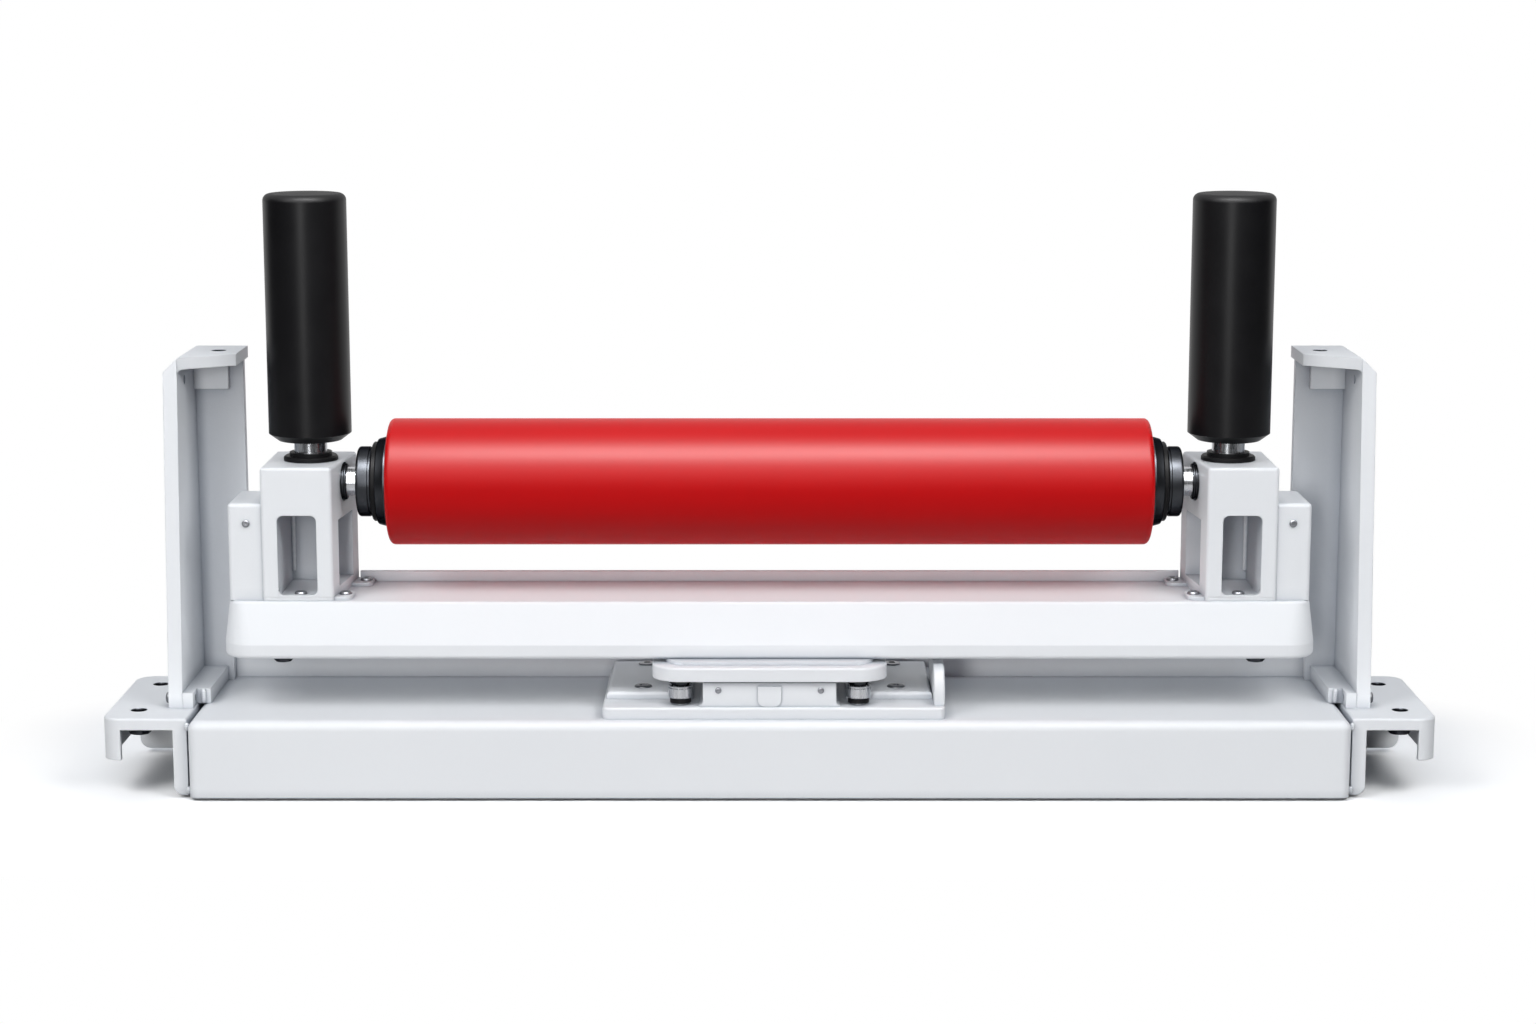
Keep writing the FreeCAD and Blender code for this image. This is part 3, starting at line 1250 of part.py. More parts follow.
def main():
    nodes = make_deck()
    for name, side in SIDES:
        nodes += [make_foot(name, side), make_post(name, side)]
    nodes.append(group("gussets", [make_gusset(name, side) for name, side in SIDES]))
    nodes.append(group("tie_bars", [make_tie_bar(name, side) for name, side in SIDES]))
    nodes += [make_foot_bosses(), make_tie_screws()] + make_deck_bolts()
    nodes += make_pivot_base() + make_stop_bolts()
    nodes += [make_pivot_housing(), make_housing_screws(), make_stop_lug()] + make_pivot()
    nodes += make_swivel_plate() + make_stop_posts() + make_carrier()
    nodes += [make_block(name, side) for name, side in SIDES]
    nodes.append(group("block_bases", [make_block_base(name, side) for name, side in SIDES]))
    nodes.append(group("end_covers", [make_cover(name, side) for name, side in SIDES]))
    nodes += [make_cover_screws()] + make_block_bolts() + make_roller() + make_guides()
    check_document()
    os.makedirs("parts", exist_ok=True)
    for node in nodes:
        if node.Shape.isNull() or not node.Shape.isValid():
            raise RuntimeError(f"{node.Label} has no valid shape")
        node.Shape.exportStep(f"parts/{node.Label}.step")
    print(len(nodes), "sub-parts written")


main()
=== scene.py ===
import json
import math

import bmesh
import bpy
from mathutils import Matrix, Vector


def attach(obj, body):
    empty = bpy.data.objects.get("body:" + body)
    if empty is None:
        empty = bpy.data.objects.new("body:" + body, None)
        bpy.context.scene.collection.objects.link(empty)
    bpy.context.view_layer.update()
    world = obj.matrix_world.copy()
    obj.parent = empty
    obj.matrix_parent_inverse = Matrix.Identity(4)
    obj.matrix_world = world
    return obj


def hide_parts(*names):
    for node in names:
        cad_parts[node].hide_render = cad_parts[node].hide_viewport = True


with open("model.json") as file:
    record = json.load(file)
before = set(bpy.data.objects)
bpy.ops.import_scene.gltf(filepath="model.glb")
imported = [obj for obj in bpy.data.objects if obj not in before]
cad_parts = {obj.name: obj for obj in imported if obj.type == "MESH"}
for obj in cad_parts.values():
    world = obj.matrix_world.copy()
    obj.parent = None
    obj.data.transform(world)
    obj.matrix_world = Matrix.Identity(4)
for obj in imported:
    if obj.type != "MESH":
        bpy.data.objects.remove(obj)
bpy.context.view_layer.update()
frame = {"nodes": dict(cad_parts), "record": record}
nodes = frame["nodes"]
print("frame loaded:", len(nodes), "CAD nodes")

view = {"lens": 71.5, "sensor": 36.0, "spot": (-0.0013, -2.573, 0.682), "tilt": 80.0}  # the photograph's angle

scene = bpy.context.scene
scene.view_settings.view_transform = "Standard"
eye = bpy.data.cameras.new("eye")
eye.lens = view["lens"]
eye.sensor_width = view["sensor"]
eye.sensor_fit = "HORIZONTAL"
eyeObject = bpy.data.objects.new("eye", eye)
eyeObject.location = view["spot"]
eyeObject.rotation_euler = (math.radians(view["tilt"]), 0.0, 0.0)
scene.collection.objects.link(eyeObject)
scene.camera = eyeObject


class Wire:  # a socket in a node tree, with arithmetic
    def __init__(self, tree, socket=None):
        self.tree, self.socket = tree, socket

    def node(self, kind, settings=None, sockets=None, out=0):
        made = self.tree.nodes.new(kind)
        for name, value in (settings or {}).items():
            setattr(made, name, value)
        for name, value in (sockets or {}).items():
            if isinstance(value, Wire):
                self.tree.links.new(value.socket, made.inputs[name])
            else:
                made.inputs[name].default_value = value
        return Wire(self.tree, made.outputs[out] if len(made.outputs) else None)

    def math(self, operation, first, second):
        return self.node("ShaderNodeMath", {"operation": operation}, {0: first, 1: second})

    def __add__(self, other):
        return self.math("ADD", self, other)

    def __radd__(self, other):
        return self.math("ADD", other, self)

    def __sub__(self, other):
        return self.math("SUBTRACT", self, other)

    def __rsub__(self, other):
        return self.math("SUBTRACT", other, self)

    def __mul__(self, other):
        return self.math("MULTIPLY", self, other)

    def __rmul__(self, other):
        return self.math("MULTIPLY", other, self)


def newMaterial(name):
    material = bpy.data.materials.new(name)
    material.use_nodes = True
    material.node_tree.nodes.clear()
    return material, Wire(material.node_tree)


def surface(wire, shader):  # joins a shader to the material's output
    wire.node("ShaderNodeOutputMaterial", None, {"Surface": shader})


def principled(wire, sockets):
    surface(wire, wire.node("ShaderNodeBsdfPrincipled", None, sockets))


def blendColours(wire, share, low, high):  # 6 and 7 are a Mix node's colour sockets
    return wire.node("ShaderNodeMix", {"data_type": "RGBA"}, {0: share, 6: low, 7: high}, out=2)


def noise(wire, scale, detail=2.0, stretch=(1.0, 1.0, 1.0)):
    spot = wire.node("ShaderNodeTexCoord", out="Object")
    mapped = wire.node("ShaderNodeMapping", None, {"Vector": spot, "Scale": stretch})
    return wire.node("ShaderNodeTexNoise", None, {"Vector": mapped, "Scale": scale, "Detail": detail})


def opaque(colour):
    return (*colour, 1.0)


def tinted(wire, look, pattern):
    return blendColours(wire, pattern, opaque(look["dark"]), opaque(look["light"]))


def varied(look, pattern):  # roughness on either side of its mean
    return look["rough"] + (pattern - 0.5) * look["spread"]


def bumped(wire, look, height, under=None):
    sockets = {"Height": height, "Strength": look["bump"], "Distance": look["depth"]}
    return wire.node("ShaderNodeBump", None, {**sockets, "Normal": under} if under else sockets)


# crease is the colour of the painted shade in creases and hollows
paintLook = {"light": (0.845, 0.86, 0.88), "dark": (0.815, 0.832, 0.856), "clouds": 6.0, "soft": 0.0013,
             "crease": (0.315, 0.345, 0.395), "creaseShadeReach": 0.011, "hollowShadeReach": 0.055, "shine": 0.1,
             "rough": 0.42, "spread": 0.10, "peel": 850.0, "bump": 0.5, "depth": 0.00004}


def makePaint():
    material, wire = newMaterial("whitePaint")
    clouds = noise(wire, paintLook["clouds"], 3.0)
    # painted shade: ambient occlusion darkens the coat towards the crease colour in creases, in hollows and where
    # parts meet
    creaseShade = wire.node("ShaderNodeAmbientOcclusion", {"samples": 5},
                        {"Distance": paintLook["creaseShadeReach"]}, "AO")
    hollowShade = wire.node("ShaderNodeAmbientOcclusion", {"samples": 5, "only_local": True},
                        {"Distance": paintLook["hollowShadeReach"]}, "AO")
    edges = wire.node("ShaderNodeBevel", {"samples": 6}, {"Radius": paintLook["soft"]})  # the coat rounds edges
    coat = tinted(wire, paintLook, clouds)
    principled(wire, {
        "Base Color": blendColours(wire, creaseShade * hollowShade, opaque(paintLook["crease"]), coat),
        "Roughness": varied(paintLook, clouds), "Specular IOR Level": paintLook["shine"],
        "Normal": bumped(wire, paintLook, noise(wire, paintLook["peel"], 1.0), edges)})
    return material


laggingLook = {"light": (0.77, 0.003, 0.005), "dark": (0.70, 0.002, 0.004), "rough": 0.41, "spread": 0.06,
               "streak": 60.0, "stretch": (0.06, 1.0, 1.0), "shine": 0.16, "grain": 1400.0, "bump": 0.4,
               "depth": 0.00003}


def makeLagging():
    material, wire = newMaterial("redLagging")
    streak = noise(wire, laggingLook["streak"], 3.0, laggingLook["stretch"])
    principled(wire, {
        "Base Color": tinted(wire, laggingLook, streak), "Roughness": varied(laggingLook, streak),
        "Specular IOR Level": laggingLook["shine"],
        "Normal": bumped(wire, laggingLook, noise(wire, laggingLook["grain"], 1.0))})
    return material


polymerLook = {"light": (0.0048, 0.0047, 0.0056), "dark": (0.0026, 0.0025, 0.0032), "clouds": 40.0, "rough": 0.37,
               "spread": 0.06, "endRough": 0.62, "shine": 0.16, "grain": 1100.0, "bump": 0.3, "depth": 0.00003}


def makePolymer():
    material, wire = newMaterial("blackPolymer")
    clouds = noise(wire, polymerLook["clouds"], 3.0)
    normal = wire.node("ShaderNodeTexCoord", out="Normal")
    upwards = wire.node("ShaderNodeSeparateXYZ", None, {"Vector": normal}, "Z")
    ends = wire.math("MAXIMUM", upwards, 0.0)  # the sawn upper end is duller than the turned side
    principled(wire, {
        "Base Color": tinted(wire, polymerLook, clouds),
        "Roughness": varied(polymerLook, clouds) + ends * (polymerLook["endRough"] - polymerLook["rough"]),
        "Specular IOR Level": polymerLook["shine"],
        "Normal": bumped(wire, polymerLook, noise(wire, polymerLook["grain"], 2.0))})
    return material


rubberLook = {"light": (0.012, 0.012, 0.013), "dark": (0.006, 0.006, 0.0065), "clouds": 120.0, "rough": 0.46,
              "spread": 0.2, "shine": 0.08}


def makeRubber():
    material, wire = newMaterial("sealRubber")
    clouds = noise(wire, rubberLook["clouds"], 3.0)
    principled(wire, {
        "Base Color": tinted(wire, rubberLook, clouds), "Roughness": varied(rubberLook, clouds),
        "Specular IOR Level": rubberLook["shine"]})
    return material


blackLook = {"light": (0.042, 0.0445, 0.0495), "dark": (0.030, 0.032, 0.036), "clouds": 45.0, "lines": 2400.0,
             "stretch": (1.0, 0.02, 0.02), "rough": 0.35, "spread": 0.08, "tint": (0.25, 0.25, 0.27)}


def makeBlackSteel():
    material, wire = newMaterial("blackSteel")
    lines = noise(wire, blackLook["lines"], 2.0, blackLook["stretch"])
    principled(wire, {
        "Base Color": tinted(wire, blackLook, noise(wire, blackLook["clouds"], 3.0)),
        "Roughness": varied(blackLook, lines), "Metallic": 1.0, "Specular Tint": opaque(blackLook["tint"])})
    return material


metalLook = {"clouds": 30.0, "spread": 0.16, "bump": 0.5}
brightLook = {**metalLook, "light": (0.50, 0.51, 0.53), "dark": (0.42, 0.43, 0.45), "rough": 0.26,
              "lines": 900.0, "stretch": (1.0, 0.05, 0.05), "depth": 0.000002}
zincLook = {**metalLook, "light": (0.24, 0.245, 0.26), "dark": (0.16, 0.165, 0.18), "rough": 0.4,
            "lines": 400.0, "stretch": (1.0, 1.0, 1.0), "depth": 0.000004}
bronzeLook = {**metalLook, "light": (0.55, 0.37, 0.16), "dark": (0.43, 0.28, 0.11), "rough": 0.32,
              "lines": 260.0, "stretch": (0.05, 0.05, 1.0), "depth": 0.00002}


def makeMetal(name, look):
    material, wire = newMaterial(name)
    lines = noise(wire, look["lines"], 3.0, look["stretch"])
    principled(wire, {
        "Base Color": tinted(wire, look, noise(wire, look["clouds"], 3.0)), "Metallic": 1.0,
        "Roughness": varied(look, lines), "Normal": bumped(wire, look, lines)})
    return material


finishes = {
    "white_paint": makePaint(),
    "red_lagging": makeLagging(),
    "black_polymer": makePolymer(),
    "seal_rubber": makeRubber(),
    "black_steel": makeBlackSteel(),
    "bright_steel": makeMetal("brightSteel", brightLook),
    "zinc_steel": makeMetal("zincSteel", zincLook),
    "bronze": makeMetal("bronze", bronzeLook),
}

for part in frame["record"]["subparts"]:
    node = nodes[part["node"]]
    node.data.materials.clear()
    node.data.materials.append(finishes[part["material_slot"]])
print("finishes:", len(finishes))

mm = 0.001
weld = 1e-7  # points closer than this are merged, in metres
snap = 1e-6  # how near a point lies to the radius it belongs to, in metres
bothSides = (-1.0, 1.0)


def lathe(profile, steps=48, closed=False):  # turns (radius, height) points in millimetres about Z
    mesh = bmesh.new()
    points = [mesh.verts.new((radius * mm, 0.0, height * mm)) for radius, height in profile]
    edges = [mesh.edges.new(pair) for pair in zip(points, points[1:])]
    if closed:
        edges.append(mesh.edges.new((points[-1], points[0])))
    bmesh.ops.spin(mesh, geom=points + edges, cent=(0.0, 0.0, 0.0), axis=(0.0, 0.0, 1.0),
                   dvec=(0.0, 0.0, 0.0), angle=math.tau, steps=steps, use_merge=True)
    bmesh.ops.remove_doubles(mesh, verts=mesh.verts, dist=weld)
    bmesh.ops.recalc_face_normals(mesh, faces=mesh.faces)
    return mesh


def sixSided(mesh, radius):  # pulls the ring of points at one radius in to a hexagon
    for vert in mesh.verts:
        if abs(math.hypot(vert.co.x, vert.co.y) - radius * mm) < snap:
            turn = math.atan2(vert.co.y, vert.co.x) % (math.pi / 3) - math.pi / 6
            inwards = math.cos(math.pi / 6) / math.cos(turn)
            vert.co.x, vert.co.y = vert.co.x * inwards, vert.co.y * inwards
    return mesh


def arc(centre, radius, start, end, steps):  # points of a rounded edge, angles in degrees
    spots = [math.radians(start + (end - start) * step / steps) for step in range(steps + 1)]
    return [(centre[0] + radius * math.cos(spot), centre[1] + radius * math.sin(spot)) for spot in spots]


def freshVerts(result):  # the points that an extrusion made
    return [part for part in result["geom"] if isinstance(part, bmesh.types.BMVert)]


def pushedOut(outline, reach):  # solid from a flat outline in millimetres
    mesh = bmesh.new()
    face = mesh.faces.new([mesh.verts.new((x * mm, y * mm, z * mm)) for x, y, z in outline])
    pushed = bmesh.ops.extrude_face_region(mesh, geom=[face], use_keep_orig=True)
    bmesh.ops.translate(mesh, vec=tuple(part * mm for part in reach), verts=freshVerts(pushed))
    bmesh.ops.remove_doubles(mesh, verts=mesh.verts, dist=weld)
    return mesh


def placed(x, y, z, tilt=0.0, axis="X", turn=0.0):
    return (Matrix.Translation((x * mm, y * mm, z * mm)) @ Matrix.Rotation(math.radians(tilt), 4, axis)
            @ Matrix.Rotation(math.radians(turn), 4, "Z"))


def tipped(way, side):  # tilt and axis that bring a piece's Z to face one way
    return {"up": (0.0, "X"), "down": (180.0, "X"), "front": (90.0, "X"), "out": (side * 90.0, "Y")}[way]


def bothEnds(look):  # the spots of a piece and their mirror images
    return [placed(side * x, y, z, *tipped(look.get("way", "up"), side), turn)
            for side, turn in zip(bothSides, look.get("turns", (0.0, 0.0))) for x, y, z in look["spots"]]


def gathered(build, look, places):  # one mesh with a copy of a shape at each place
    whole = bmesh.new()
    for place in places:
        single = build(look)
        bmesh.ops.transform(single, matrix=place, verts=single.verts)
        data = bpy.data.meshes.new("single")
        single.to_mesh(data)
        single.free()
        whole.from_mesh(data)
        bpy.data.meshes.remove(data)
    return whole


def addPiece(name, mesh, body, slot, hides=None, crease=32.0):
    bmesh.ops.recalc_face_normals(mesh, faces=mesh.faces)
    data = bpy.data.meshes.new(name)
    mesh.to_mesh(data)
    mesh.free()
    data.shade_smooth()
    data.set_sharp_from_angle(angle=math.radians(crease))
    data.materials.append(finishes[slot])
    piece = bpy.data.objects.new(name, data)
    scene.collection.objects.link(piece)
    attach(piece, body)
    if hides:
        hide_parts(hides)


def addPair(name, build, look, body, slot, hides=None, crease=32.0):
    addPiece(name, gathered(build, look, bothEnds(look)), body, slot, hides, crease)


hexLook = {"dish": 0.3, "dishIn": 0.55, "dishOut": 0.62, "crown": 0.93, "slope": 0.2, "washer": 0.45,
           "washerWide": 0.96, "tip": 0.8, "bevel": 0.6}  # widths and slope are shares of half the flats


def hexBolt(look):  # chamfered head on a washer face, with its shank below the seat
    flat, corner = look["flats"] / 2, look["flats"] / math.sqrt(3)
    head, shank, depth = look["head"], look["shank"] / 2, look["length"]
    dish, washer, tip = hexLook["dish"], hexLook["washer"], hexLook["tip"]
    rim = flat * hexLook["washerWide"]
    mesh = lathe([(0.0, head - dish), (flat * hexLook["dishIn"], head - dish), (flat * hexLook["dishOut"], head),
                  (flat * hexLook["crown"], head), (corner, head - flat * hexLook["slope"]), (corner, washer),
                  (rim, washer), (rim, 0.0), (shank, 0.0), (shank, -depth + tip), (shank - tip, -depth),
                  (0.0, -depth)])
    return sixSided(mesh, corner)


def hexNut(look):
    flat, corner, bore, tall = look["flats"] / 2, look["flats"] / math.sqrt(3), look["bore"] / 2, look["tall"]
    crown, slope, bevel = flat * hexLook["crown"], flat * hexLook["slope"], hexLook["bevel"]
    mesh = lathe([(bore + bevel, 0.0), (crown, 0.0), (corner, slope), (corner, tall - slope), (crown, tall),
                  (bore + bevel, tall), (bore, tall - bevel), (bore, bevel)], closed=True)
    return sixSided(mesh, corner)


domeLook = {"steps": 5, "fall": 0.42, "curve": 2.2, "rim": 0.25, "drill": 0.2, "drillWide": 0.5, "tip": 0.5}


def socketScrew(look):  # domed head with a six-sided socket
    wide, head, shank, depth = look["wide"] / 2, look["head"], look["shank"] / 2, look["length"]
    socket, floor = look["socket"] / math.sqrt(3), head - look["deep"]
    steps, rim, tip = domeLook["steps"], domeLook["rim"], domeLook["tip"]
    dome = [(wide - wide * domeLook["fall"] * (step / steps) ** domeLook["curve"],
             head * (rim + (1.0 - rim) * math.sin(math.pi / 2 * step / steps))) for step in range(steps + 1)]
    mesh = lathe([(0.0, floor - domeLook["drill"]), (socket * domeLook["drillWide"], floor), (socket, floor),
                  (socket, head), *reversed(dome), (wide, 0.0), (shank, 0.0), (shank, -depth + tip),
                  (shank - tip, -depth), (0.0, -depth)])
    return sixSided(mesh, socket)


rollerAxis = ((0.0, 0.0, 255.0),)
hubLook = {"deep": 306.0, "plug": 43.9, "seat": 321.6, "flange": 48.8, "face": 323.4, "wide": 39.0, "ring": 36.8,
           "ringEnd": 333.8, "bore": 26.0, "bevel": 0.4, "fillet": 0.5, "land": 2.8, "step": 0.6, "nose": 1.2,
           "steps": 96, "way": "out", "spots": rollerAxis}


def hubRing(look):  # plug that closes the roller's end, its flange over the tube, and the tapered ring in front
    plug, flange, wide, ring, bore = (look[name] for name in ("plug", "flange", "wide", "ring", "bore"))
    deep, seat, face, end, land = (look[name] for name in ("deep", "seat", "face", "ringEnd", "land"))
    bevel, fillet, step, nose = (look[name] for name in ("bevel", "fillet", "step", "nose"))
    return lathe([(bore, deep), (plug, deep), (plug, seat), (flange, seat), (flange, face - bevel),
                  (flange - bevel, face), (wide + fillet, face), (wide, face + fillet), (wide, face + land),
                  (wide - step, face + land + step), (ring, end - nose), (ring - fillet, end - bevel),
                  (ring - nose, end), (bore, end)], look["steps"], True)


sealLook = {"start": hubLook["ringEnd"], "end": 337.8, "radius": 34.0, "bore": 17.0, "bevel": 0.9, "steps": 96,
            "way": "out", "spots": rollerAxis}


def hubSeal(look):
    start, end, radius, bore, bevel = (look[name] for name in ("start", "end", "radius", "bore", "bevel"))
    return lathe([(bore, start), (radius, start), (radius, end - bevel), (radius - bevel, end), (bore, end)],
                 look["steps"], True)


capLook = {"inner": 338.4, "outer": 350.8, "radius": 30.0, "bore": 12.8, "edge": 2.6, "bevel": 0.4,
           "groove": (339.2, 340.6), "cut": 1.6, "lip": 0.3, "recess": (18.0, 17.4), "sunk": 0.8, "steps": 96,
           "way": "out", "spots": rollerAxis}


def hubCap(look):  # rounded cap with a groove near its foot and a shallow recess round the shaft
    inner, outer, radius, bore, edge = (look[name] for name in ("inner", "outer", "radius", "bore", "edge"))
    bevel, lip, sunk, low = look["bevel"], look["lip"], look["sunk"], radius - look["cut"]
    start, end = look["groove"]
    rim, well = look["recess"]
    return lathe([(bore, inner), (radius - bevel, inner), (radius, inner + bevel), (radius, start), (low, start),
                  (low, end), (radius - lip, end), (radius, end + lip),
                  *arc((radius - edge, outer - edge), edge, 0, 90, 8), (rim, outer), (well, outer - sunk),
                  (bore, outer - sunk)], look["steps"], True)


collarLook = {"inner": 360.4, "outer": 368.4, "radius": 15.5, "bore": 12.7, "ridge": 2.6, "gap": 1.0, "neck": 1.4,
              "neckTall": 1.2, "steps": 72, "way": "out", "spots": rollerAxis}


def shaftCollar(look):  # two rounded ridges with a groove between them
    inner, outer, radius, bore, ridge = (look[name] for name in ("inner", "outer", "radius", "bore", "ridge"))
    half, neck, second = ridge / 2, radius - look["neck"], inner + ridge + look["gap"]
    return lathe([(bore, inner), (radius - half, inner), *arc((radius - half, inner + half), half, -90, 90, 8),
                  (radius - half, second), *arc((radius - half, second + half), half, -90, 90, 8),
                  (neck, outer - look["neckTall"]), (neck, outer), (bore, outer)], look["steps"], True)


addPair("hubRings", hubRing, hubLook, "return_roller", "black_steel", "end_housings")
addPair("hubSeals", hubSeal, sealLook, "return_roller", "seal_rubber", "roller_seals")
addPair("hubCaps", hubCap, capLook, "swivel_frame", "black_steel", "hub_caps")
addPair("shaftCollars", shaftCollar, collarLook, "swivel_frame", "black_steel", "shaft_collars")

blockBolt = {"wide": 10.5, "head": 2.4, "shank": 6.0, "length": 22.0, "socket": 4.0, "deep": 1.6, "seat": 163.0,
             "spots": ((398.4, -30.0, 12.0), (360.4, -30.0, -8.0), (350.4, 30.0, 20.0))}  # with each bolt's turn
addPiece("blockBolts", gathered(socketScrew, blockBolt, [
    placed(side * x, y, blockBolt["seat"], turn=side * turn)
    for side in bothSides for x, y, turn in blockBolt["spots"]]), "swivel_frame", "zinc_steel", "block_bolts")

coverScrew = {"wide": 6.5, "head": 1.6, "shank": 4.0, "length": 13.0, "socket": 2.9, "deep": 1.3, "way": "front",
              "turns": (14.0, 14.0), "spots": ((441.4, -43.0, 226.0),)}
addPair("coverScrews", socketScrew, coverScrew, "swivel_frame", "zinc_steel", "cover_screws")

housingScrew = {"wide": 5.2, "head": 1.2, "shank": 4.0, "length": 13.0, "socket": 2.4, "deep": 1.0,
                "way": "front", "turns": (-20.0, 20.0), "spots": ((43.0, -78.0, 90.0),)}
addPair("housingScrews", socketScrew, housingScrew, "base_frame", "zinc_steel", "housing_screws")

stopBolt = {"wide": 15.0, "head": 1.5, "shank": 8.0, "length": 30.0, "socket": 6.0, "deep": 1.1,
            "turns": (-9.0, 9.0), "spots": ((108.0, -28.9, 82.0), (108.0, 58.0, 82.0))}
addPair("stopBolts", socketScrew, stopBolt, "base_frame", "zinc_steel", "stop_plate_bolts")

sleeveLook = {"low": 81.9, "high": 92.6, "radius": 10.5, "bore": 6.3, "foot": 0.7, "rim": 0.5, "cut": 0.8,
              "groove": (2.4, 2.0, 1.6, 1.2), "steps": 72, "spots": ((75.0, -66.0, 0.0),)}


def stopSleeve(look):  # turned sleeve with a groove under its upper rim
    low, high, radius, bore = (look[name] for name in ("low", "high", "radius", "bore"))
    foot, rim, inside = look["foot"], look["rim"], radius - look["cut"]
    widths = (radius, inside, inside, radius)
    groove = [(wide, high - drop) for wide, drop in zip(widths, look["groove"])]
    return lathe([(bore, low), (radius - foot, low), (radius, low + foot), *groove, (radius, high - rim),
                  (radius - rim, high), (bore, high)], look["steps"], True)


addPair("stopSleeves", stopSleeve, sleeveLook, "swivel_frame", "bright_steel", "stop_sleeves")

lockNut = {"flats": 16.0, "bore": 12.2, "tall": 5.2, "turns": (8.0, 8.0), "spots": ((75.0, -66.0, 92.7),)}
addPair("lockNuts", hexNut, lockNut, "swivel_frame", "black_steel", "stop_lock_nuts")

tieScrew = {"wide": 10.0, "head": 4.0, "shank": 6.0, "length": 20.5, "socket": 4.0, "deep": 2.4, "way": "out",
            "turns": (11.0, 11.0), "spots": ((512.0, -30.0, 72.5), (512.0, 42.0, 72.5))}
addPair("tieScrews", socketScrew, tieScrew, "base_frame", "zinc_steel", "tie_screws")

deckBolt = {"flats": 13.0, "head": 5.0, "shank": 8.0, "length": 26.0, "way": "out", "turns": (10.0, 10.0),
            "spots": ((502.0, -50.0, 34.0), (502.0, 50.0, 34.0))}
addPair("deckBolts", hexBolt, deckBolt, "base_frame", "zinc_steel", "deck_bolts")

lipBolt = {"flats": 14.0, "head": 3.2, "shank": 8.0, "length": 9.0, "way": "down", "turns": (-12.0, 12.0),
           "spots": ((411.0, -52.0, 113.0),)}
addPair("lipBolts", hexBolt, lipBolt, "swivel_frame", "black_steel")

# painted shade: a dark tube in each flange hole stands in for the shade inside the hole
flangeShadeLook = {"radius": 6.4, "bore": 5.9, "low": 353.3, "high": 362.6, "steps": 40, "spots": ((474.0, 38.0, 0.0),)}


def flangeHoleShadeTube(look):
    radius, bore, low, high = (look[name] for name in ("radius", "bore", "low", "high"))
    return lathe([(bore, low), (radius, low), (radius, high), (bore, high)], look["steps"], True)


addPair("flangeHoleShadeTubes", flangeHoleShadeTube, flangeShadeLook, "base_frame", "black_steel")

footShadeLook = {"radius": 6.9, "bore": 6.2, "low": 56.0, "high": 65.7, "flare": 0.3, "flareTall": 0.4, "steps": 40,
             "spots": ((536.0, -48.0, 0.0), (536.0, 48.0, 0.0))}


def footHoleShade(look):  # dark collar in a foot hole, its bore flared at the top, that paints the shade on the hole's wall
    radius, bore, low, high = (look[name] for name in ("radius", "bore", "low", "high"))
    return lathe([(bore, low), (radius, low), (radius, high), (bore + look["flare"], high),
                  (bore, high - look["flareTall"])], look["steps"], True)


addPair("footHoleShades", footHoleShade, footShadeLook, "base_frame", "black_steel")

footBoss = {"flats": 18.0, "bore": 14.2, "tall": 10.0, "turns": (-7.0, 7.0),
            "spots": ((536.0, -48.0, 46.0), (536.0, 48.0, 46.0))}
addPair("footBosses", hexNut, footBoss, "base_frame", "black_steel", "foot_bosses")

footBack = {"near": 502.0, "far": 561.0, "low": 2.0, "high": 31.0, "front": 71.5, "back": 79.0, "corner": 9.0}


def footBackPlate(side):  # carries the foot's back wall on down to the floor
    near, far, low, high = (footBack[name] for name in ("near", "far", "low", "high"))
    front, back, corner = (footBack[name] for name in ("front", "back", "corner"))
    line = [(near, low), *arc((far - corner, low + corner), corner, 270, 360, 6), (far, high), (near, high)]
    return pushedOut([(side * x, front, z) for x, z in line], (0.0, back - front, 0.0))


addPiece("leftFootBack", footBackPlate(-1.0), "base_frame", "white_paint")
addPiece("rightFootBack", footBackPlate(1.0), "base_frame", "white_paint")

sillLook = {"near": 381.9, "far": 414.9, "low": 163.0, "thick": 1.6, "corner": 5.0, "front": -46.0, "deep": 5.0}


def windowSill(side):  # rounds the lower corners of a block's window
    near, far, low, corner = (sillLook[name] for name in ("near", "far", "low", "corner"))
    bend = low + sillLook["thick"] + corner
    line = [(near, low), (near, bend), *arc((near + corner, bend), corner, 180, 270, 6),
            *arc((far - corner, bend), corner, 270, 360, 6), (far, low)]
    return pushedOut([(side * x, sillLook["front"], z) for x, z in line], (0.0, sillLook["deep"], 0.0))


addPiece("leftSill", windowSill(-1.0), "swivel_frame", "white_paint")
addPiece("rightSill", windowSill(1.0), "swivel_frame", "white_paint")

beadLook = {"radius": 2.2, "ripple": 0.1, "pace": 3.6, "steps": 60, "round": 20, "taper": 3.0, "crease": 60.0}


def weldBead(look):  # rippled bead with tapered ends, along Z
    length, steps = look["length"], beadLook["steps"]
    line = []
    for step in range(steps + 1):
        along = length * step / steps
        ends = min(1.0, min(along, length - along) / beadLook["taper"])
        ripple = 1.0 + beadLook["ripple"] * math.sin(along * beadLook["pace"])
        line.append((beadLook["radius"] * math.sqrt(ends * (2.0 - ends)) * ripple, along))
    return lathe(line, beadLook["round"])


windowBead = {"length": 60.0, "spots": ((413.6, 32.8, 170.0),)}
addPair("windowBeads", weldBead, windowBead, "swivel_frame", "white_paint", crease=beadLook["crease"])
legWeld = {"length": 7.0, "spots": ((489.3, -81.6, 1.0), (489.3, -81.6, 56.0))}
addPair("legWelds", weldBead, legWeld, "base_frame", "white_paint", crease=beadLook["crease"])
tieWeld = {"length": 13.0, "spots": ((485.0, -24.6, 66.0),)}
addPair("tieWelds", weldBead, tieWeld, "base_frame", "white_paint", crease=beadLook["crease"])

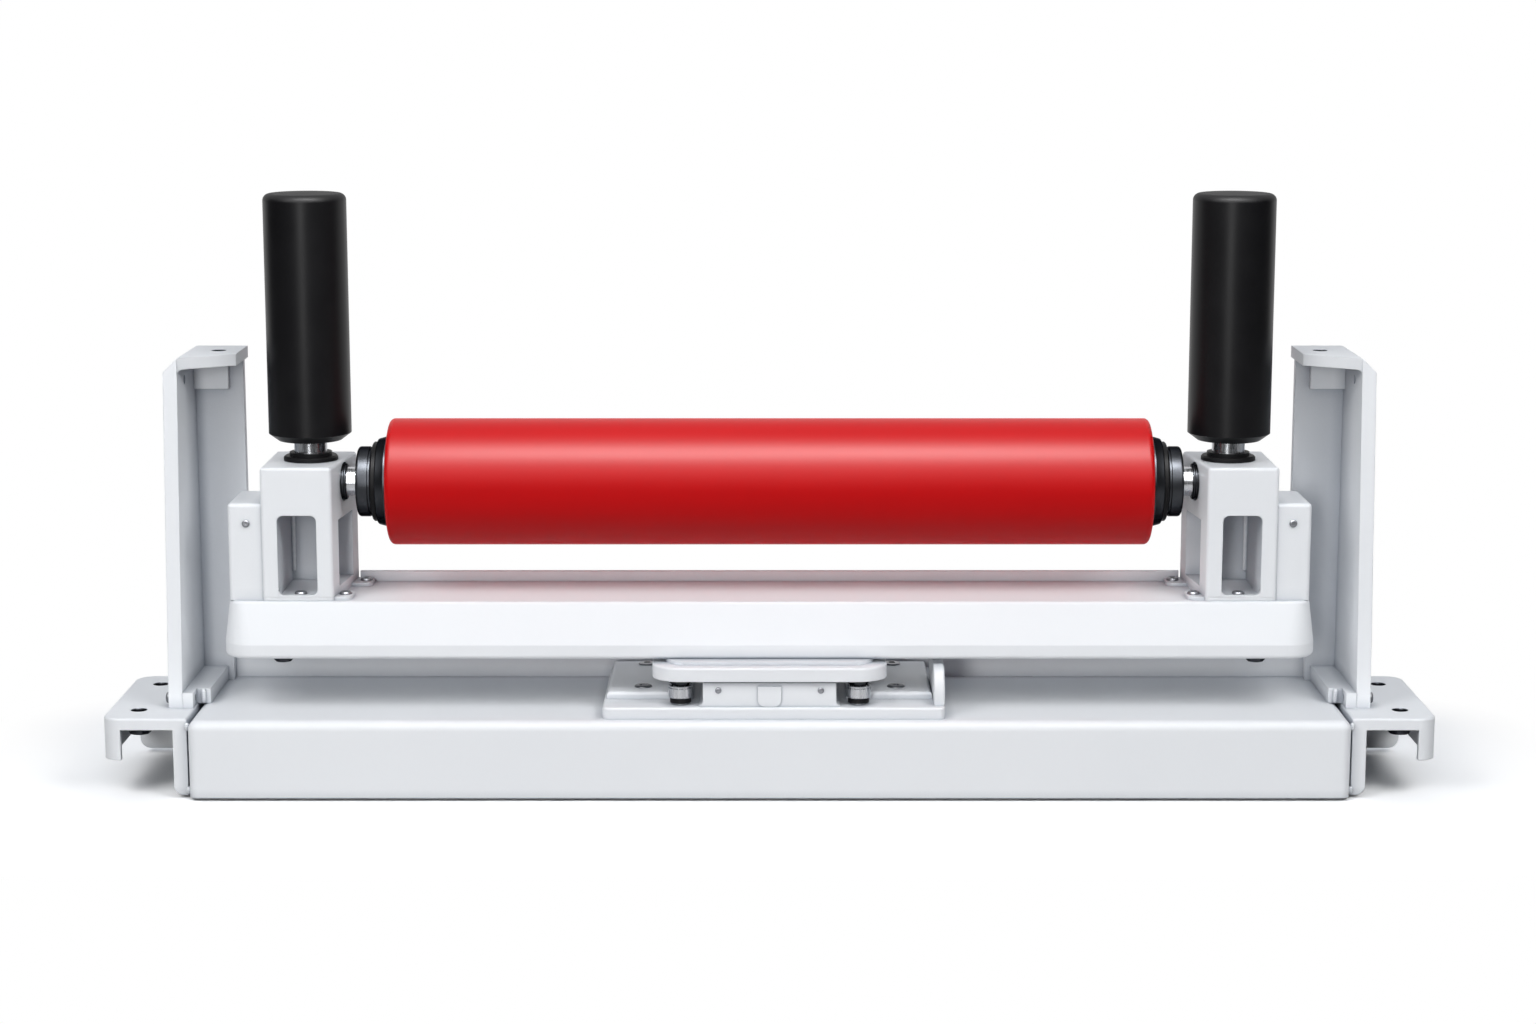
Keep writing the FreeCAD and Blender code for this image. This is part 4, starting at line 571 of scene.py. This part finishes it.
railLook = {"reach": 484.0, "front": 77.0, "back": 83.0, "low": 66.0, "high": 84.0, "edge": 1.5}
upstandLook = {"reach": 357.0, "front": 40.0, "back": 45.0, "low": 160.0, "high": 169.0, "edge": 0.8}


def flatBar(look):  # bar on edge along the length, its upper edges rounded
    front, back, low, high, edge = (look[name] for name in ("front", "back", "low", "high", "edge"))
    line = [(back, low), *arc((back - edge, high - edge), edge, 0, 90, 4),
            *arc((front + edge, high - edge), edge, 90, 180, 4), (front, low)]
    return pushedOut([(-look["reach"], y, z) for y, z in line], (2.0 * look["reach"], 0.0, 0.0))


addPiece("rearRail", flatBar(railLook), "base_frame", "white_paint", "rear_rail")
addPiece("rearUpstand", flatBar(upstandLook), "swivel_frame", "white_paint", "rear_upstand")
print("small pieces made")


floorLook = {"size": 30.0, "drop": 0.0026, "shown": 1.3, "bounce": 0.3, "rim": (0.55, 0.15, 0.0), "fade": 0.17}


def seenRays(wire):  # 1 for what the camera, a reflection or glass sees
    camera, glossy, through = [wire.node("ShaderNodeLightPath", out=out)
                               for out in ("Is Camera Ray", "Is Glossy Ray", "Is Transmission Ray")]
    return wire.math("MINIMUM", camera + glossy + through, 1.0)


def grey(level):
    return (level, level, level, 1.0)


def addStage(name, mesh, material):
    piece = bpy.data.objects.new(name, bpy.data.meshes.new(name))
    mesh.to_mesh(piece.data)
    mesh.free()
    piece.data.materials.append(material)
    scene.collection.objects.link(piece)
    return piece


def makeFloor():  # pale round the part, and plain white further out
    material, wire = newMaterial("paleFloor")
    seen = seenRays(wire)
    matte = wire.node("ShaderNodeBsdfDiffuse", None, {
        "Color": blendColours(wire, seen, grey(floorLook["bounce"]), grey(floorLook["shown"]))})
    white = wire.node("ShaderNodeEmission", None, {"Color": grey(1.0), "Strength": 1.0})
    spot = wire.node("ShaderNodeTexCoord", out="Object")
    past = wire.node("ShaderNodeVectorMath", {"operation": "SUBTRACT"}, {
        0: wire.node("ShaderNodeVectorMath", {"operation": "ABSOLUTE"}, {0: spot}), 1: floorLook["rim"]})
    outside = wire.node("ShaderNodeVectorMath", {"operation": "MAXIMUM"}, {0: past, 1: (0.0, 0.0, 0.0)})
    reach = wire.node("ShaderNodeVectorMath", {"operation": "LENGTH"}, {0: outside}, out="Value")
    away = wire.node("ShaderNodeMapRange", {"interpolation_type": "SMOOTHSTEP"}, {
        "Value": reach, "From Min": 0.0, "From Max": floorLook["fade"]})
    surface(wire, wire.node("ShaderNodeMixShader", None, {0: away * seen, 1: matte, 2: white}))
    mesh = bmesh.new()
    below = Matrix.Translation((0.0, 0.0, -floorLook["drop"]))  # leaves the dark line under the deck
    bmesh.ops.create_grid(mesh, x_segments=1, y_segments=1, size=floorLook["size"], matrix=below)
    addStage("floor", mesh, material)


flagLook = {
    "dark": 0.012, "pale": 0.0192, "weave": 400.0, "lift": 0.004, "height": 1.3,
    "cards": {"frontFlag": ((-2.4, -4.4), (2.4, -4.4)), "leftFlag": ((-1.9, -4.4), (-1.9, 0.7)),
              "rightFlag": ((1.9, -4.4), (1.9, 0.7))},
    "cloth": ((-1.9, -4.4), (1.9, -0.8)),
}


def makeFlags():  # dark cards and cloth round the set, outside the picture, that give gloss and metal their depth
    material, wire = newMaterial("darkCard")
    weave = noise(wire, flagLook["weave"])
    surface(wire, wire.node("ShaderNodeBsdfDiffuse", None, {
        "Color": blendColours(wire, weave, grey(flagLook["dark"]), grey(flagLook["pale"]))}))
    sheets = {name: (ends, (0.0, 0.0, flagLook["height"])) for name, ends in flagLook["cards"].items()}
    (left, near), (right, far) = flagLook["cloth"]
    sheets["cloth"] = (((left, near), (right, near)), (0.0, far - near, 0.0))
    for name, (ends, reach) in sheets.items():
        mesh = bmesh.new()
        edge = mesh.edges.new([mesh.verts.new((x, y, flagLook["lift"])) for x, y in ends])
        raised = bmesh.ops.extrude_edge_only(mesh, edges=[edge])
        bmesh.ops.translate(mesh, vec=reach, verts=freshVerts(raised))
        addStage(name, mesh, material).visible_camera = False


worldLook = {"ambient": 0.26, "sky": (0.9, 0.985, 1.12)}


def makeWorld():
    world = bpy.data.worlds.new("studio")
    scene.world = world
    world.use_nodes = True
    world.node_tree.nodes.clear()
    wire = Wire(world.node_tree)
    seen = seenRays(wire)
    light = wire.node("ShaderNodeBackground", None, {
        "Color": blendColours(wire, seen, opaque(worldLook["sky"]), grey(1.0)),
        "Strength": wire.math("MAXIMUM", seen, worldLook["ambient"])})
    wire.node("ShaderNodeOutputWorld", None, {"Surface": light})


partMiddle = (0.0, 0.0, 0.25)
lampLook = {
    "leftBox": {"spot": (-1.7, -1.7, 2.05), "aim": partMiddle, "size": (1.4, 1.4), "power": 40.5},
    "rightBox": {"spot": (1.7, -1.7, 2.05), "aim": partMiddle, "size": (1.4, 1.4), "power": 39.0},
    "front": {"spot": (-0.6, -3.6, 0.7), "aim": (0.0, 0.0, 0.3), "size": (0.5, 1.3), "power": 39.0,
              "skips": "roller_lagging"},
    "back": {"spot": (0.0, 2.5, 0.75), "aim": partMiddle, "size": (2.4, 0.5), "power": 20.0},
    "panel": {"spot": (0.0, -2.5, 1.75), "aim": partMiddle, "size": (2.6, 1.3), "power": 40.0},
    "gloss": {"spot": (0.0, -1.22, 2.55), "aim": partMiddle, "size": (1.8, 0.9), "power": 230.0},
}


def makeLamps():
    for name, look in lampLook.items():
        lamp = bpy.data.lights.new(name, "AREA")
        lamp.shape = "RECTANGLE"
        lamp.size, lamp.size_y = look["size"]
        lamp.energy = look["power"]
        lampObject = bpy.data.objects.new(name, lamp)
        lampObject.location = look["spot"]
        aim = Vector(look["aim"]) - Vector(look["spot"])
        lampObject.rotation_euler = aim.to_track_quat("-Z", "Y").to_euler()
        lampObject.visible_diffuse = name not in ("gloss", "panel")  # those two only draw highlights
        lampObject.visible_camera = False
        lampObject.visible_glossy = name != "back"  # it only lifts the faces behind
        if "skips" in look:  # the front lamp would flatten the roller
            skipped = bpy.data.collections.new(name + "Skips")
            skipped.objects.link(nodes[look["skips"]])
            skipped.collection_objects[0].light_linking.link_state = "EXCLUDE"
            lampObject.light_linking.receiver_collection = skipped
        scene.collection.objects.link(lampObject)


makeFloor()
makeFlags()
makeWorld()
makeLamps()
print("studio ready")
